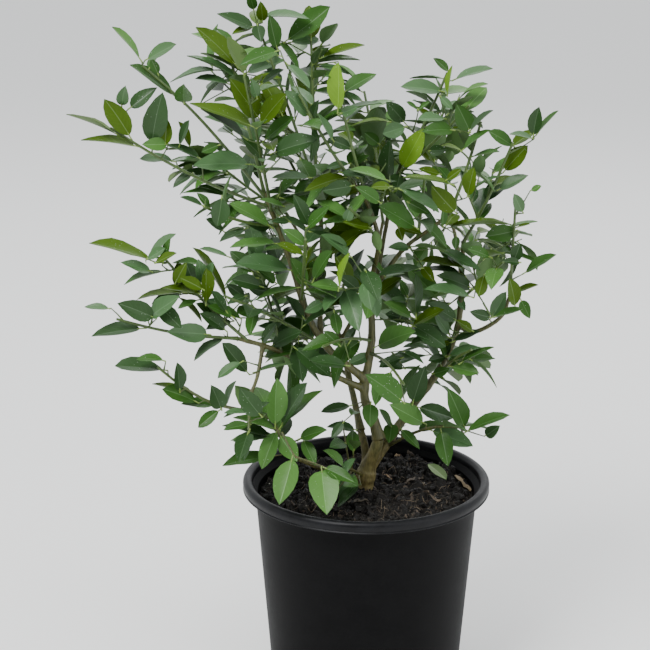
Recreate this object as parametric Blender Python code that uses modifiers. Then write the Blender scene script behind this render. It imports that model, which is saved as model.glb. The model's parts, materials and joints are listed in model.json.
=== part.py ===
"""A small lime tree in a round nursery pot, at its real size.

The pot stands on z = 0 with its axis on the world Z axis, and the photograph looks along +Y.
One short trunk forks into three stems, boughs leave the stems, and leafy shoots leave both.
Sizes in the tables are millimetres and become metres where a path or a profile is made.
"""
import math
import random
from collections import namedtuple

import bmesh
import bpy
from mathutils import Matrix, Vector
from mathutils.bvhtree import BVHTree
from mathutils.kdtree import KDTree

MM = 0.001
GAP = 0.3 * MM
TAU = 2 * math.pi
UP = Vector((0, 0, 1))

# Pot: a tapered shell with a rolled rim
POT_HEIGHT = 200
RIM_RADIUS = 110
RIM_INNER_RADIUS = 101.5
RIM_DEPTH = 10
WALL_TOP_RADIUS = 100
BASE_RADIUS = 84
WALL = 2.2
FLOOR = 3
HOLE_RADIUS = 6
HOLE_RING = 60
HOLES = 6
HOLE_SIDES = 12
RIM_LIP = 0.6
RIM_RECESS = 2.4
NECK = (1.5, 2.5)
FOOT_BEVEL = (1.8, 2)
POT_STEPS = 32

# Potting mix: its level, and how it falls from the flat middle to the wall
SOIL_LEVEL = 187
SOIL_FLAT_RADIUS = 22
SOIL_FALL = 3
SOIL_BEND = (0.6, 1)

# Limbs: where each leaves its parent, the places it runs through, and its end radii.
# at is the fraction of the parent's length, and 1 carries on from the parent's tip.
Limb = namedtuple("Limb", "parent at through radii")
LIMBS = {
    "trunk": Limb(None, 0, [(-1, 0, 187), (0, 0, 201), (4, 0, 216)], (6.9, 6.0)),
    "fork_left": Limb("trunk", 0.55, [(-1, 4, 224), (-5, 8, 240)], (3.7, 3.3)),
    "fork_middle": Limb("trunk", 0.80, [(8, -4, 226), (11, -6, 238)], (5.0, 4.6)),
    "fork_right": Limb("trunk", 0.60, [(12, 6, 219), (19, 10, 229)], (4.5, 4.1)),
    "stem_left": Limb("fork_left", 1, [(-12, 28, 266), (-24, 62, 305), (-36, 96, 345)], (3.2, 1.9)),
    "stem_middle": Limb("fork_middle", 1, [(6, -6, 256), (-2, -4, 279), (4, 0, 327), (2, 5, 374)],
                        (4.5, 2.8)),
    "stem_right": Limb("fork_right", 1, [(43, 20, 262), (66, 25, 295), (81, 24, 338), (83, 18, 410)],
                       (4.0, 2.0)),
    "bough_left": Limb("stem_middle", 0.40, [(-34, -15, 324), (-52, -22, 358), (-66, -25, 405),
                                             (-88, -15, 462)], (3.4, 1.9)),
    "bough_center": Limb("bough_left", 0.30, [(-41, 3, 368), (-40, 20, 415), (-45, 30, 470)],
                         (2.6, 1.7)),
    "bough_low_left": Limb("stem_middle", 0.34, [(-47, -25, 310), (-83, -38, 331), (-110, -45, 341)],
                           (2.8, 1.8)),
    "bough_hanging": Limb("bough_low_left", 0.82, [(-94, -55, 306), (-106, -62, 283)], (1.8, 1.5)),
    "bough_low": Limb("trunk", 0.35, [(-29, -20, 210), (-60, -38, 230)], (2.1, 1.6)),
    "bough_far_right": Limb("stem_right", 0.62, [(95, 20, 329), (117, 12, 345), (124, 8, 366)],
                            (2.3, 1.6)),
    "bough_right": Limb("stem_middle", 0.95, [(30, -12, 411), (56, -25, 435), (69, -30, 448)],
                        (2.4, 1.6)),
    "bough_upper": Limb("stem_middle", 1, [(9, -24, 420), (0, -40, 456), (-13, -48, 478)],
                        (2.5, 1.6)),
    "bough_top_right": Limb("stem_middle", 0.85, [(16, 18, 425), (22, 25, 457), (28, 28, 476)],
                            (2.3, 1.6)),
    "bough_rear": Limb("stem_left", 0.62, [(2, 92, 355), (14, 118, 405)], (2.0, 1.6)),
    "bough_rear_left": Limb("stem_left", 1, [(-52, 112, 375), (-75, 118, 412)], (1.8, 1.5)),
    "bough_rear_right": Limb("stem_right", 0.70, [(82, 62, 385), (72, 98, 430)], (2.0, 1.6)),
}
TRUNK_PARTS = ("trunk", "fork_left", "fork_middle", "fork_right")
ROOT_FLARE = 0.35
ROOT_FLARE_HEIGHT = 8
LIMB_STEP = 20
LIMB_WAVE = 0.35
Grown = namedtuple("Grown", "path radii mesh surface")

# How a branch is seated: drawn in from far out until rings of places on it are just clear.
# Each ring has its distance from the branch's start and the room it keeps beyond the gap.
SEAT_REACH = 20
SEAT_SPOKES = 12
SEAT_STEPS = 14
SEAT_RINGS = ((0, 0), (6, 0.2), (12, 0.4), (18, 0.6))

# Leafy shoots: the limb each leaves and where, the tip of its stem, how far its middle stands
# above the straight line between them, its leaf length, the seed of its growth, and the gap
# between its leaves.
Shoot = namedtuple("Shoot", "limb at tip bow leaf seed gap", defaults=(13,))
SHOOTS = {
    "leaves_low_left_end": Shoot("bough_low_left", 1, (-208, -74, 366), -4, 40, 108),
    "leaves_low_left_up": Shoot("bough_low_left", 0.93, (-174, -56, 420), -4, 42, 26),
    "leaves_low_left_inner": Shoot("bough_low_left", 0.68, (-93, -30, 405), 4, 40, 40),
    "leaves_hanging_out": Shoot("bough_hanging", 1, (-174, -82, 327), -8, 40, 23),
    "leaves_hanging_in": Shoot("bough_hanging", 0.72, (-98, -92, 276), 4, 42, 78, 10),
    "leaves_rosette": Shoot("bough_low", 1, (-82, -50, 276), -8, 50, 96, 9),
    "leaves_foot": Shoot("trunk", 0.42, (-24, -42, 222), 3, 28, 108, 10),
    "leaves_left_reach": Shoot("bough_left", 0.925, (-212, -45, 521), -6, 40, 70),
    "leaves_left_rise": Shoot("bough_left", 0.965, (-185, -38, 571), 8, 40, 31),
    "leaves_left_top": Shoot("bough_left", 1, (-121, 4, 590), 4, 42, 57),
    "leaves_left_front": Shoot("bough_left", 0.90, (-100, -62, 566), 2, 42, 95),
    "leaves_crown_top": Shoot("bough_center", 0.85, (-96, 36, 598), 4, 42, 111),
    "leaves_crown_top_right": Shoot("bough_center", 1, (-50, 52, 580), -2, 42, 53),
    "leaves_yellow_tip": Shoot("bough_upper", 0.72, (-22, -56, 542), -3, 42, 97),
    "leaves_upper_front": Shoot("bough_upper", 1, (-56, -64, 552), -3, 42, 118),
    "leaves_left_low_front": Shoot("bough_left", 0.84, (-132, -92, 466), -4, 42, 89),
    "leaves_right_top": Shoot("bough_top_right", 1, (67, 32, 556), -5, 40, 45),
    "leaves_right_top_front": Shoot("bough_top_right", 0.93, (84, -6, 534), -2, 40, 4),
    "leaves_right_shoot": Shoot("bough_right", 1, (92, -42, 527), -4, 40, 113),
    "leaves_right_upper": Shoot("stem_right", 1, (122, 0, 502), -5, 38, 85),
    "leaves_far_right": Shoot("bough_far_right", 1, (126, 2, 448), 3, 38, 21),
    "leaves_right_front": Shoot("stem_right", 0.74, (114, -36, 407), 0, 42, 97),
    "leaves_right_low": Shoot("stem_right", 0.36, (90, -24, 326), 3, 42, 109),
    "leaves_right_foot": Shoot("fork_right", 0.85, (86, -22, 254), 8, 44, 94),
    "leaves_middle_front": Shoot("stem_middle", 0.58, (31, -84, 314), 5, 46, 16),
    "leaves_right_inner": Shoot("bough_right", 0.66, (46, -68, 486), 0, 42, 114),
    "leaves_center_low": Shoot("stem_middle", 0.66, (-36, -88, 348), 4, 42, 84),
    "leaves_center_left": Shoot("bough_left", 0.50, (-50, -98, 441), 2, 42, 66),
    "leaves_center_high": Shoot("bough_upper", 0.48, (-16, -100, 468), 2, 42, 24),
    "leaves_thin_left": Shoot("bough_left", 0.24, (-118, -66, 384), 3, 38, 106),
    "leaves_center": Shoot("stem_middle", 0.86, (-2, -90, 414), 2, 42, 16),
    "leaves_rear_left_end": Shoot("bough_rear_left", 1, (-140, 112, 462), -2, 42, 27),
    "leaves_rear_left_low": Shoot("bough_rear_left", 0.55, (-112, 140, 372), 4, 42, 59),
    "leaves_rear_end": Shoot("bough_rear", 1, (2, 138, 482), -2, 42, 103),
    "leaves_rear_low": Shoot("bough_rear", 0.45, (34, 150, 350), 6, 42, 29),
    "leaves_rear_right_end": Shoot("bough_rear_right", 1, (62, 112, 512), 2, 42, 19),
    "leaves_rear_right_low": Shoot("bough_rear_right", 0.55, (126, 104, 398), 0, 42, 10),
    "leaves_rear_foot": Shoot("stem_left", 0.38, (-72, 104, 294), 6, 42, 52),
    "leaves_rear_high": Shoot("bough_center", 0.72, (-92, 98, 506), 0, 42, 60),
    "leaves_rear_top": Shoot("bough_top_right", 0.66, (-4, 92, 530), 0, 42, 10),
    "leaves_rear_right_foot": Shoot("stem_right", 0.30, (84, 92, 290), 4, 42, 113),
}

# How a shoot's stem and its side twigs grow
STEM_RADII = (1.5, 1.1)
STEM_RUNS = 3
FIRST_NODE = 14
LAST_NODE = 6
GAP_RANGE = (0.85, 1.15)
GOLDEN_TURN = math.radians(137.5)
TWIG_RADII = (1.3, 1.1)
TWIG_EVERY = 3
TWIG_LENGTHS = (24, 46)
TWIG_ALONG = 0.62
TWIG_ASIDE = 0.78
TWIG_UP = 0.12
TWIG_ROOT = 4
TWIG_BARE = 0.45
TWIG_LAST_NODE = 5
TWIG_GAP = 0.85

# How leaves are set: their angle to the stem in radians, and the turns tried for a free one
NODE_SPREAD = 1.05
SPREAD_RANGE = (-0.2, 0.2)
TRIES = 8
TRY_TURN = math.radians(50)
TIP_SPREAD = 0.25
TUFT_LEAVES = 2
TUFT_SPREAD = 0.9
TUFT_SIZE = 0.9
TUFT_START = 4
TUFT_STEP = 3.5

# How a leaf faces: its droop, and the shares of the stem, the sky and the side in its face
DROOPS = (0.05, 0.5)
FACE_STEM = 0.6
FACE_SKY = 0.7
FACE_SIDE = 0.35
FACE_RANGE = (-0.4, 0.4)

# The space of a shoot: how far it reaches, and how far it keeps from other things
REACH = 68
SPACE_MARGIN = 0.8
LIMB_CLEARANCE = 1.2
POT_CLEARANCE = 2
WALL_CLEARANCE = 6

# How a leaf is made
LEAF_SIZES = (0.8, 1.15)
LEAF_ARCHES = (0.06, 0.24)
LEAF_WIDTH = 0.52
LEAF_THICKNESS = 0.024
LEAF_WIDEST = 0.52
LEAF_FOLD = 0.28
LEAF_ROOT = 0.2
LEAF_FREE = 0.09
MIDRIB_SPOTS = (0.28, 0.52, 0.8, 1)
MARGIN_SPOTS = ((0.3, 0.55), (0.52, 1), (0.76, 0.5))

# Colours and roughness
FINISHES = {
    "black_plastic": ((0.012, 0.012, 0.013), 0.55),
    "potting_mix": ((0.018, 0.013, 0.010), 0.95),
    "bark": ((0.15, 0.13, 0.06), 0.75),
    "green_bark": ((0.10, 0.13, 0.04), 0.65),
    "leaf_green": ((0.04, 0.13, 0.03), 0.45),
}


# Paths

class Path:
    """A smooth line through given places, read by the distance along it."""

    def __init__(self, places, step=3 * MM):
        self.points = [places[0].copy()]
        for i in range(len(places) - 1):
            before = places[i - 1] if i else places[0] * 2 - places[1]
            after = places[i + 2] if i + 2 < len(places) else places[i + 1] * 2 - places[i]
            count = max(2, round((places[i + 1] - places[i]).length / step))
            for k in range(1, count + 1):
                self.points.append(between(before, places[i], places[i + 1], after, k / count))
        self.marks = [0.0]
        for a, b in zip(self.points, self.points[1:]):
            self.marks.append(self.marks[-1] + (b - a).length)
        self.length = self.marks[-1]

    def at(self, distance):
        """The place and the direction at a distance from the start."""
        distance = min(max(distance, 0.0), self.length)
        i = 0
        while i < len(self.marks) - 2 and self.marks[i + 1] < distance:
            i += 1
        a, b = self.points[i], self.points[i + 1]
        part = (distance - self.marks[i]) / (self.marks[i + 1] - self.marks[i])
        return a.lerp(b, part), (b - a).normalized()


def between(before, start, end, after, t):
    """A place on the Catmull-Rom curve from start to end."""
    return 0.5 * (2 * start + (end - before) * t
                  + (2 * before - 5 * start + 4 * end - after) * t * t
                  + (3 * start - before - 3 * end + after) * t ** 3)


def metres(place):
    return Vector(place) * MM


def perpendicular(axis, turn):
    """A unit vector square to the axis, turned about it."""
    flat = axis.cross(UP)
    if flat.length < 0.05:
        flat = axis.cross(Vector((0, 1, 0)))
    flat.normalize()
    return Matrix.Rotation(turn, 3, axis) @ flat


def branch_start(limbs, parent, at, towards, radius):
    """Where a limb or shoot begins: its end face just clear of the parent's side or tip."""
    grown = limbs[parent]
    place, along = grown.path.at(grown.path.length * at)
    heading = (towards - place).normalized()
    outward = along if at == 1 else heading
    start = place + outward * SEAT_REACH * MM
    spokes = [perpendicular(heading, TAU * k / SEAT_SPOKES) * radius for k in range(SEAT_SPOKES)]
    for _ in range(SEAT_STEPS):
        clear = min(grown.surface.find_nearest(start + heading * ahead * MM + spoke)[3] - room * MM
                    for ahead, room in SEAT_RINGS for spoke in spokes)
        start -= outward * (clear - GAP)
    return start


def limb_paths():
    """Every limb's path, radii, mesh and surface, in metres."""
    limbs = {}
    for name, limb in LIMBS.items():
        places = [metres(p) for p in limb.through]
        radii = tuple(r * MM for r in limb.radii)
        if limb.parent and name in TRUNK_PARTS:
            path = limbs[limb.parent].path
            places.insert(0, path.at(path.length * limb.at)[0])
        elif limb.parent:
            places.insert(0, branch_start(limbs, limb.parent, limb.at, places[0], radii[0]))
        path = Path(places)
        mesh = limb_mesh(name, path, radii)
        surface = BVHTree.FromPolygons([vert.co for vert in mesh.vertices],
                                       [face.vertices for face in mesh.polygons])
        limbs[name] = Grown(path, radii, mesh, surface)
    return limbs


def shoot_paths(limbs):
    """Every leafy shoot's stem, in metres."""
    paths = {}
    for name, shoot in SHOOTS.items():
        tip = metres(shoot.tip)
        start = branch_start(limbs, shoot.limb, shoot.at, tip, STEM_RADII[0] * MM)
        middle = (start + tip) / 2 + UP * shoot.bow * MM
        paths[name] = Path([start, middle, tip])
    return paths


# Spaces

class Spaces:
    """Tells whether a place is inside a shoot's own space and clear of all else."""

    def __init__(self, limbs, shoots):
        self.limb_tree, self.limb_radii = self.tree_of(
            [place for grown in limbs.values() for place in self.samples(grown.path, grown.radii)])
        self.shoot_trees = {name: self.tree_of([(p, 0) for p in path.points])[0]
                            for name, path in shoots.items()}
        self.thickest = max(self.limb_radii)

    @staticmethod
    def samples(path, radii):
        count = len(path.points) - 1
        return [(p, radii[0] + (radii[1] - radii[0]) * i / count)
                for i, p in enumerate(path.points)]

    @staticmethod
    def tree_of(samples):
        tree = KDTree(len(samples))
        for i, (place, _) in enumerate(samples):
            tree.insert(place, i)
        tree.balance()
        return tree, [radius for _, radius in samples]

    def clear_of_limbs(self, place):
        clearance = LIMB_CLEARANCE * MM
        for _, i, distance in self.limb_tree.find_range(place, self.thickest + clearance):
            if distance < self.limb_radii[i] + clearance:
                return False
        return True

    def clear_of_pot(self, place):
        """Above the potting mix, and out of the wall and its rolled rim."""
        if place.z > (POT_HEIGHT + POT_CLEARANCE) * MM:
            return True
        out = math.hypot(place.x, place.y)
        over_soil = place.z > (SOIL_LEVEL + POT_CLEARANCE) * MM
        inside = out < (WALL_TOP_RADIUS - WALL_CLEARANCE) * MM
        return (inside and over_soil) or out > (RIM_RADIUS + POT_CLEARANCE) * MM

    def owns(self, name, place):
        own = self.shoot_trees[name].find(place)[2]
        if own > REACH * MM:
            return False
        limit = own + 2 * SPACE_MARGIN * MM
        return all(tree.find(place)[2] > limit
                   for other, tree in self.shoot_trees.items() if other != name)

    def fits(self, name, places):
        return all(self.clear_of_limbs(p) and self.clear_of_pot(p) and self.owns(name, p)
                   for p in places)


# Growth

Leaf = namedtuple("Leaf", "root along face length arch")
Twig = namedtuple("Twig", "start end")


def leaf_place(leaf, s, across, height=0.0):
    """A place on the leaf: s along it, across as a share of its half width, height off it."""
    side = leaf.face.cross(leaf.along)
    half_width = leaf.length * LEAF_WIDTH / 2
    lift = abs(across) * half_width * LEAF_FOLD - leaf.arch * leaf.length * s * s + height
    return (leaf.root + leaf.along * (leaf.length * s) + side * (across * half_width)
            + leaf.face * lift)


def leaf_samples(leaf):
    """The places that have to be clear: both margins, the midrib and the tip."""
    spots = [(s, 0) for s in MIDRIB_SPOTS]
    for hand in (-1, 1):
        spots += [(s, across * hand) for s, across in MARGIN_SPOTS]
    return [leaf_place(leaf, s, across) for s, across in spots]


def leaf_shape(leaf, start=0.0):
    """The six corners of a leaf from a share of its length on, and the eight faces on them."""
    half_thickness = leaf.length * LEAF_THICKNESS / 2
    corners = [leaf_place(leaf, start, 0), leaf_place(leaf, 1, 0)]
    corners += [leaf_place(leaf, LEAF_WIDEST, hand) for hand in (-1, 1)]
    corners += [leaf_place(leaf, LEAF_WIDEST, 0, hand * half_thickness) for hand in (-1, 1)]
    faces = [(end, margin, flat) for end in (0, 1) for margin in (2, 3) for flat in (4, 5)]
    return corners, faces


def leaf_tree(leaf):
    """The leaf as a search tree, without the root that it shares with its twig."""
    return BVHTree.FromPolygons(*leaf_shape(leaf, LEAF_FREE))


def twig_tree(start, end):
    """A straight run of stem or twig as a search tree: a three-sided prism."""
    axis = (end - start).normalized()
    spokes = [perpendicular(axis, TAU * k / 3) * TWIG_RADII[0] * MM for k in range(3)]
    corners = [place + spoke for place in (start, end) for spoke in spokes]
    return BVHTree.FromPolygons(corners, [(0, 1, 4, 3), (1, 2, 5, 4), (2, 0, 3, 5)])


class Growth:
    """The twigs and leaves of one shoot, grown by its seed inside its own space."""

    def __init__(self, name, path, spaces):
        self.name = name
        self.spaces = spaces
        self.leaf_length = SHOOTS[name].leaf * MM
        self.gap = SHOOTS[name].gap * MM
        self.rng = random.Random(SHOOTS[name].seed)
        self.stops = [path.at(path.length * i / STEM_RUNS)[0] for i in range(STEM_RUNS + 1)]
        self.twigs = []
        self.leaves = []
        self.trees = [twig_tree(a, b) for a, b in zip(self.stops, self.stops[1:])]
        self.grow_stem(path.length)

    def grow_stem(self, length):
        """Leaves in a spiral up the stem, a side twig at every third, and a tuft at the tip."""
        turn = self.rng.uniform(0, TAU)
        distance = FIRST_NODE * MM
        count = 0
        while distance < length - LAST_NODE * MM:
            run = min(int(distance / length * STEM_RUNS), STEM_RUNS - 1)
            start, end = self.stops[run], self.stops[run + 1]
            root = start.lerp(end, distance / length * STEM_RUNS - run)
            axis = (end - start).normalized()
            if count % TWIG_EVERY == 1:
                self.grow_twig(root, axis, perpendicular(axis, turn + math.pi / 2))
            self.add_leaf(root, axis, turn, NODE_SPREAD)
            turn += GOLDEN_TURN
            distance += self.gap * self.rng.uniform(*GAP_RANGE)
            count += 1
        self.add_tuft(self.stops[-1], (self.stops[-1] - self.stops[-2]).normalized())

    def grow_twig(self, root, axis, side):
        """A straight twig with alternate leaves and a tuft, or nothing where it doesn't fit."""
        length = self.rng.uniform(*TWIG_LENGTHS) * MM
        heading = (axis * TWIG_ALONG + side * TWIG_ASIDE + UP * TWIG_UP).normalized()
        end = root + heading * length
        checks = [root.lerp(end, k / 5) for k in range(1, 6)]
        tree = twig_tree(root + heading * TWIG_ROOT * MM, end)
        if self.crosses(tree) or not self.spaces.fits(self.name, checks):
            return
        self.twigs.append(Twig(root, end))
        self.trees.append(tree)
        turn = self.rng.uniform(0, TAU)
        place = TWIG_BARE * length
        while place < length - TWIG_LAST_NODE * MM:
            self.add_leaf(root + heading * place, heading, turn, NODE_SPREAD)
            turn += GOLDEN_TURN
            place += TWIG_GAP * self.gap
        self.add_tuft(end, heading)

    def add_tuft(self, end, axis):
        """The tuft at a tip: one leaf in line with it and others round it."""
        self.add_leaf(end - axis * MM, axis, self.rng.uniform(0, TAU), TIP_SPREAD)
        turn = self.rng.uniform(0, TAU)
        for i in range(TUFT_LEAVES):
            turn += TAU / TUFT_LEAVES
            root = end - axis * (TUFT_START + TUFT_STEP * i) * MM
            self.add_leaf(root, axis, turn, TUFT_SPREAD, TUFT_SIZE)

    def add_leaf(self, root, axis, turn, spread, size=1.0):
        """The first leaf near this turn that stays in its space and crosses no other."""
        for attempt in range(TRIES):
            side = perpendicular(axis, turn + attempt * TRY_TURN)
            leaf = self.new_leaf(root, axis, side, spread, size)
            if not self.spaces.fits(self.name, leaf_samples(leaf)):
                continue
            tree = leaf_tree(leaf)
            if not self.crosses(tree):
                self.leaves.append(leaf)
                self.trees.append(tree)
                return

    def crosses(self, tree):
        return any(tree.overlap(other) for other in self.trees)

    def new_leaf(self, root, axis, side, spread, size):
        """A leaf that leaves the axis at an angle and turns its face up to the light."""
        rng = self.rng
        angle = spread + rng.uniform(*SPREAD_RANGE)
        along = axis * math.cos(angle) + side * math.sin(angle) - UP * rng.uniform(*DROOPS)
        along.normalize()
        jitter = Vector([rng.uniform(*FACE_RANGE) for _ in range(3)])
        face = axis * FACE_STEM + UP * FACE_SKY + side * FACE_SIDE + jitter
        face -= along * face.dot(along)
        face.normalize()
        length = self.leaf_length * size * rng.uniform(*LEAF_SIZES)
        arch = rng.uniform(*LEAF_ARCHES)
        return Leaf(root - along * LEAF_ROOT * MM, along, face, length, arch)


# Solids

def material(name):
    colour, roughness = FINISHES[name]
    made = bpy.data.materials.new(name)
    made.use_nodes = True
    shader = made.node_tree.nodes["Principled BSDF"]
    shader.inputs["Base Color"].default_value = (*colour, 1)
    shader.inputs["Roughness"].default_value = roughness
    made.diffuse_color = (*colour, 1)
    return made


def new_object(name, mesh, collection, finish=None):
    made = bpy.data.objects.new(name, mesh)
    collection.objects.link(made)
    if finish:
        mesh.materials.append(finish)
    return made


def mesh_from(bm, name):
    mesh = bpy.data.meshes.new(name)
    bm.to_mesh(mesh)
    bm.free()
    return mesh


def turned(name, profile, collection, finish):
    """A turned solid from (radius, height) pairs that run from axis to axis."""
    mesh = bpy.data.meshes.new(name)
    points = [(r * MM, 0, z * MM) for r, z in profile]
    mesh.from_pydata(points, [(i, i + 1) for i in range(len(points) - 1)], [])
    made = new_object(name, mesh, collection, finish)
    screw = made.modifiers.new("Turn", "SCREW")
    screw.axis = "Z"
    screw.steps = screw.render_steps = POT_STEPS
    screw.use_merge_vertices = True
    screw.merge_threshold = 0.00005
    return made


def wall_radius(z):
    """Outer radius of the pot's wall at a height."""
    return BASE_RADIUS + (WALL_TOP_RADIUS - BASE_RADIUS) * z / POT_HEIGHT


def pot_profile():
    """Inner floor, inner wall, rolled rim and outer wall, back to the axis."""
    lip = POT_HEIGHT - RIM_DEPTH
    rounding = (RIM_RADIUS - RIM_INNER_RADIUS) / 2
    profile = [(0, FLOOR), (wall_radius(FLOOR) - WALL, FLOOR),
               (wall_radius(lip) - WALL, lip - 2), (RIM_INNER_RADIUS, POT_HEIGHT - rounding)]
    for i in range(1, 3):
        angle = math.pi * (1 - i / 3)
        profile.append((RIM_INNER_RADIUS + rounding * (1 + math.cos(angle)),
                        POT_HEIGHT - rounding + rounding * math.sin(angle)))
    profile += [(RIM_RADIUS, POT_HEIGHT - rounding), (RIM_RADIUS - RIM_LIP, lip),
                (RIM_RADIUS - RIM_RECESS, lip), (WALL_TOP_RADIUS + NECK[0], lip + NECK[1]),
                (wall_radius(lip), lip), (wall_radius(FOOT_BEVEL[1]), FOOT_BEVEL[1]),
                (BASE_RADIUS - FOOT_BEVEL[0], 0), (0, 0)]
    return profile


def make_pot(collection, cutters, finish):
    pot = turned("pot", pot_profile(), collection, finish)
    bm = bmesh.new()
    for i in range(HOLES):
        angle = TAU * (i + 0.5) / HOLES
        place = Vector((HOLE_RING * math.cos(angle), HOLE_RING * math.sin(angle), FLOOR / 2)) * MM
        bmesh.ops.create_cone(bm, cap_ends=True, segments=HOLE_SIDES,
                              radius1=HOLE_RADIUS * MM, radius2=HOLE_RADIUS * MM,
                              depth=4 * FLOOR * MM, matrix=Matrix.Translation(place))
    holes = new_object("drain_holes", mesh_from(bm, "drain_holes"), cutters)
    holes.hide_render = True
    holes.display_type = "WIRE"
    cut = pot.modifiers.new("Drain holes", "BOOLEAN")
    cut.operation = "DIFFERENCE"
    cut.object = holes
    return pot


def make_soil(collection, finish):
    """The potting mix: a plug that fills the pot up to its level."""
    gap = GAP / MM
    edge = SOIL_LEVEL - SOIL_FALL
    bend, dip = SOIL_BEND
    profile = [(0, SOIL_LEVEL - gap), (SOIL_FLAT_RADIUS, SOIL_LEVEL - gap),
               (wall_radius(edge) * bend, SOIL_LEVEL - dip),
               (wall_radius(edge) - WALL - gap, edge),
               (wall_radius(FLOOR) - WALL - gap, FLOOR + gap), (0, FLOOR + gap)]
    return turned("soil", profile, collection, finish)


def tube_mesh(name, places, radii, resolution):
    """A tapering tube through places: a round-bevelled curve made a mesh, its caps welded on."""
    curve = bpy.data.curves.new(name, "CURVE")
    curve.dimensions = "3D"
    curve.bevel_depth = 1
    curve.bevel_resolution = resolution
    curve.use_fill_caps = True
    spline = curve.splines.new("POLY")
    spline.points.add(len(places) - 1)
    for point, place, radius in zip(spline.points, places, radii):
        point.co = (*place, 1)
        point.radius = radius
    draft = bpy.data.objects.new(name + "_curve", curve)
    bpy.context.scene.collection.objects.link(draft)
    seen = draft.evaluated_get(bpy.context.evaluated_depsgraph_get())
    mesh = bpy.data.meshes.new_from_object(seen)
    bpy.data.objects.remove(draft)
    bm = bmesh.new()
    bm.from_mesh(mesh)
    bmesh.ops.remove_doubles(bm, verts=bm.verts, dist=0.00001)
    bm.to_mesh(mesh)
    bm.free()
    return mesh


def limb_mesh(name, path, radii):
    """A tapering limb with a slight natural wave, and a flared foot on the trunk."""
    rng = random.Random(name)
    count = max(3, round(path.length / (LIMB_STEP * MM)))
    places = []
    widths = []
    for i in range(count + 1):
        height = path.length * i / count
        place, _ = path.at(height)
        if 0 < i < count:
            place = place + Vector([rng.uniform(-LIMB_WAVE, LIMB_WAVE) * MM for _ in range(3)])
        flare = ROOT_FLARE * (1 - height / (ROOT_FLARE_HEIGHT * MM)) if name == "trunk" else 0
        places.append(place)
        widths.append((radii[0] + (radii[1] - radii[0]) * i / count) * (1 + max(0, flare)))
    mesh = tube_mesh(name, places, widths, 1 if name.startswith("bough") else 2)
    if name == "trunk":
        flatten_foot(mesh)
    mesh.shade_smooth()
    return mesh


def flatten_foot(mesh):
    """Cut the foot flat at the level of the potting mix."""
    lowest = min(vert.co.z for vert in mesh.vertices)
    for vert in mesh.vertices:
        if vert.co.z < lowest + 3 * MM:
            vert.co.z = SOIL_LEVEL * MM


def united(name, pieces, collection, finish):
    """One closed mesh from overlapping pieces, by a single union on their collection."""
    group = bpy.data.collections.new(name + "_pieces")
    bpy.context.scene.collection.children.link(group)
    base = new_object(name, pieces[0], collection)
    others = [new_object(f"{name}_{i}", mesh, group) for i, mesh in enumerate(pieces[1:])]
    union = base.modifiers.new("Union", "BOOLEAN")
    union.operation = "UNION"
    union.operand_type = "COLLECTION"
    union.collection = group
    seen = base.evaluated_get(bpy.context.evaluated_depsgraph_get())
    mesh = bpy.data.meshes.new_from_object(seen)
    base.modifiers.clear()
    base.data = mesh
    mesh.materials.clear()
    mesh.materials.append(finish)
    for other in others:
        bpy.data.objects.remove(other)
    bpy.data.collections.remove(group)
    return base


def stem_mesh(stops):
    """A shoot's stem, four-sided, along its stops."""
    widths = [(STEM_RADII[0] + (STEM_RADII[1] - STEM_RADII[0]) * i / STEM_RUNS) * MM
              for i in range(STEM_RUNS + 1)]
    return tube_mesh("stem", stops, widths, 0)


def twig_mesh(twig):
    """A straight three-sided taper between two places."""
    run = twig.end - twig.start
    turn = run.to_track_quat("Z", "Y").to_matrix().to_4x4()
    bm = bmesh.new()
    bmesh.ops.create_cone(bm, cap_ends=True, segments=3, radius1=TWIG_RADII[0] * MM,
                          radius2=TWIG_RADII[1] * MM, depth=run.length,
                          matrix=Matrix.Translation((twig.start + twig.end) / 2) @ turn)
    return mesh_from(bm, "twig")


def leaf_mesh(leaf):
    """A folded, arched leaf of eight faces, from a ball of eight."""
    bm = bmesh.new()
    bmesh.ops.create_uvsphere(bm, u_segments=4, v_segments=2, radius=1)
    for vert in bm.verts:
        x, y, z = (round(c) for c in vert.co)
        s = {-1: 0.0, 0: LEAF_WIDEST, 1: 1.0}[z]
        vert.co = leaf_place(leaf, s, x, y * leaf.length * LEAF_THICKNESS / 2)
    return mesh_from(bm, "leaf")


def make_foliage(name, path, spaces, collection, finish):
    growth = Growth(name, path, spaces)
    pieces = [stem_mesh(growth.stops)]
    pieces += [twig_mesh(twig) for twig in growth.twigs]
    pieces += [leaf_mesh(leaf) for leaf in growth.leaves]
    return united(name, pieces, collection, finish)


def clear_scene():
    for item in list(bpy.data.objects):
        bpy.data.objects.remove(item)


def main():
    clear_scene()
    tree = bpy.data.collections.new("potted_lime_tree")
    cutters = bpy.data.collections.new("cutters")
    for group in (tree, cutters):
        bpy.context.scene.collection.children.link(group)
    bark = material("bark")
    green_bark = material("green_bark")
    leaf_green = material("leaf_green")
    make_pot(tree, cutters, material("black_plastic"))
    make_soil(tree, material("potting_mix"))
    limbs = limb_paths()
    united("trunk", [limbs[part].mesh for part in TRUNK_PARTS], tree, bark)
    for name, grown in limbs.items():
        if name not in TRUNK_PARTS:
            new_object(name, grown.mesh, tree, green_bark)
    shoots = shoot_paths(limbs)
    spaces = Spaces(limbs, shoots)
    for name, path in shoots.items():
        make_foliage(name, path, spaces, tree, leaf_green)


main()
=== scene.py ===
# %% [markdown]
# # A small lime tree in a nursery pot
# A lime tree of this size is a short trunk, three stems, a dozen boughs and about forty leafy
# shoots. Everything grows by a rule: limbs follow tables of places, and twigs and leaves follow
# a seeded rule inside the space of their own shoot. All sizes are millimetres until a mesh is
# made. The camera looks along +Y, and the pot stands on z = 0.

# %% Load the frame
import json
import math
import random
from collections import namedtuple

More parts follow.
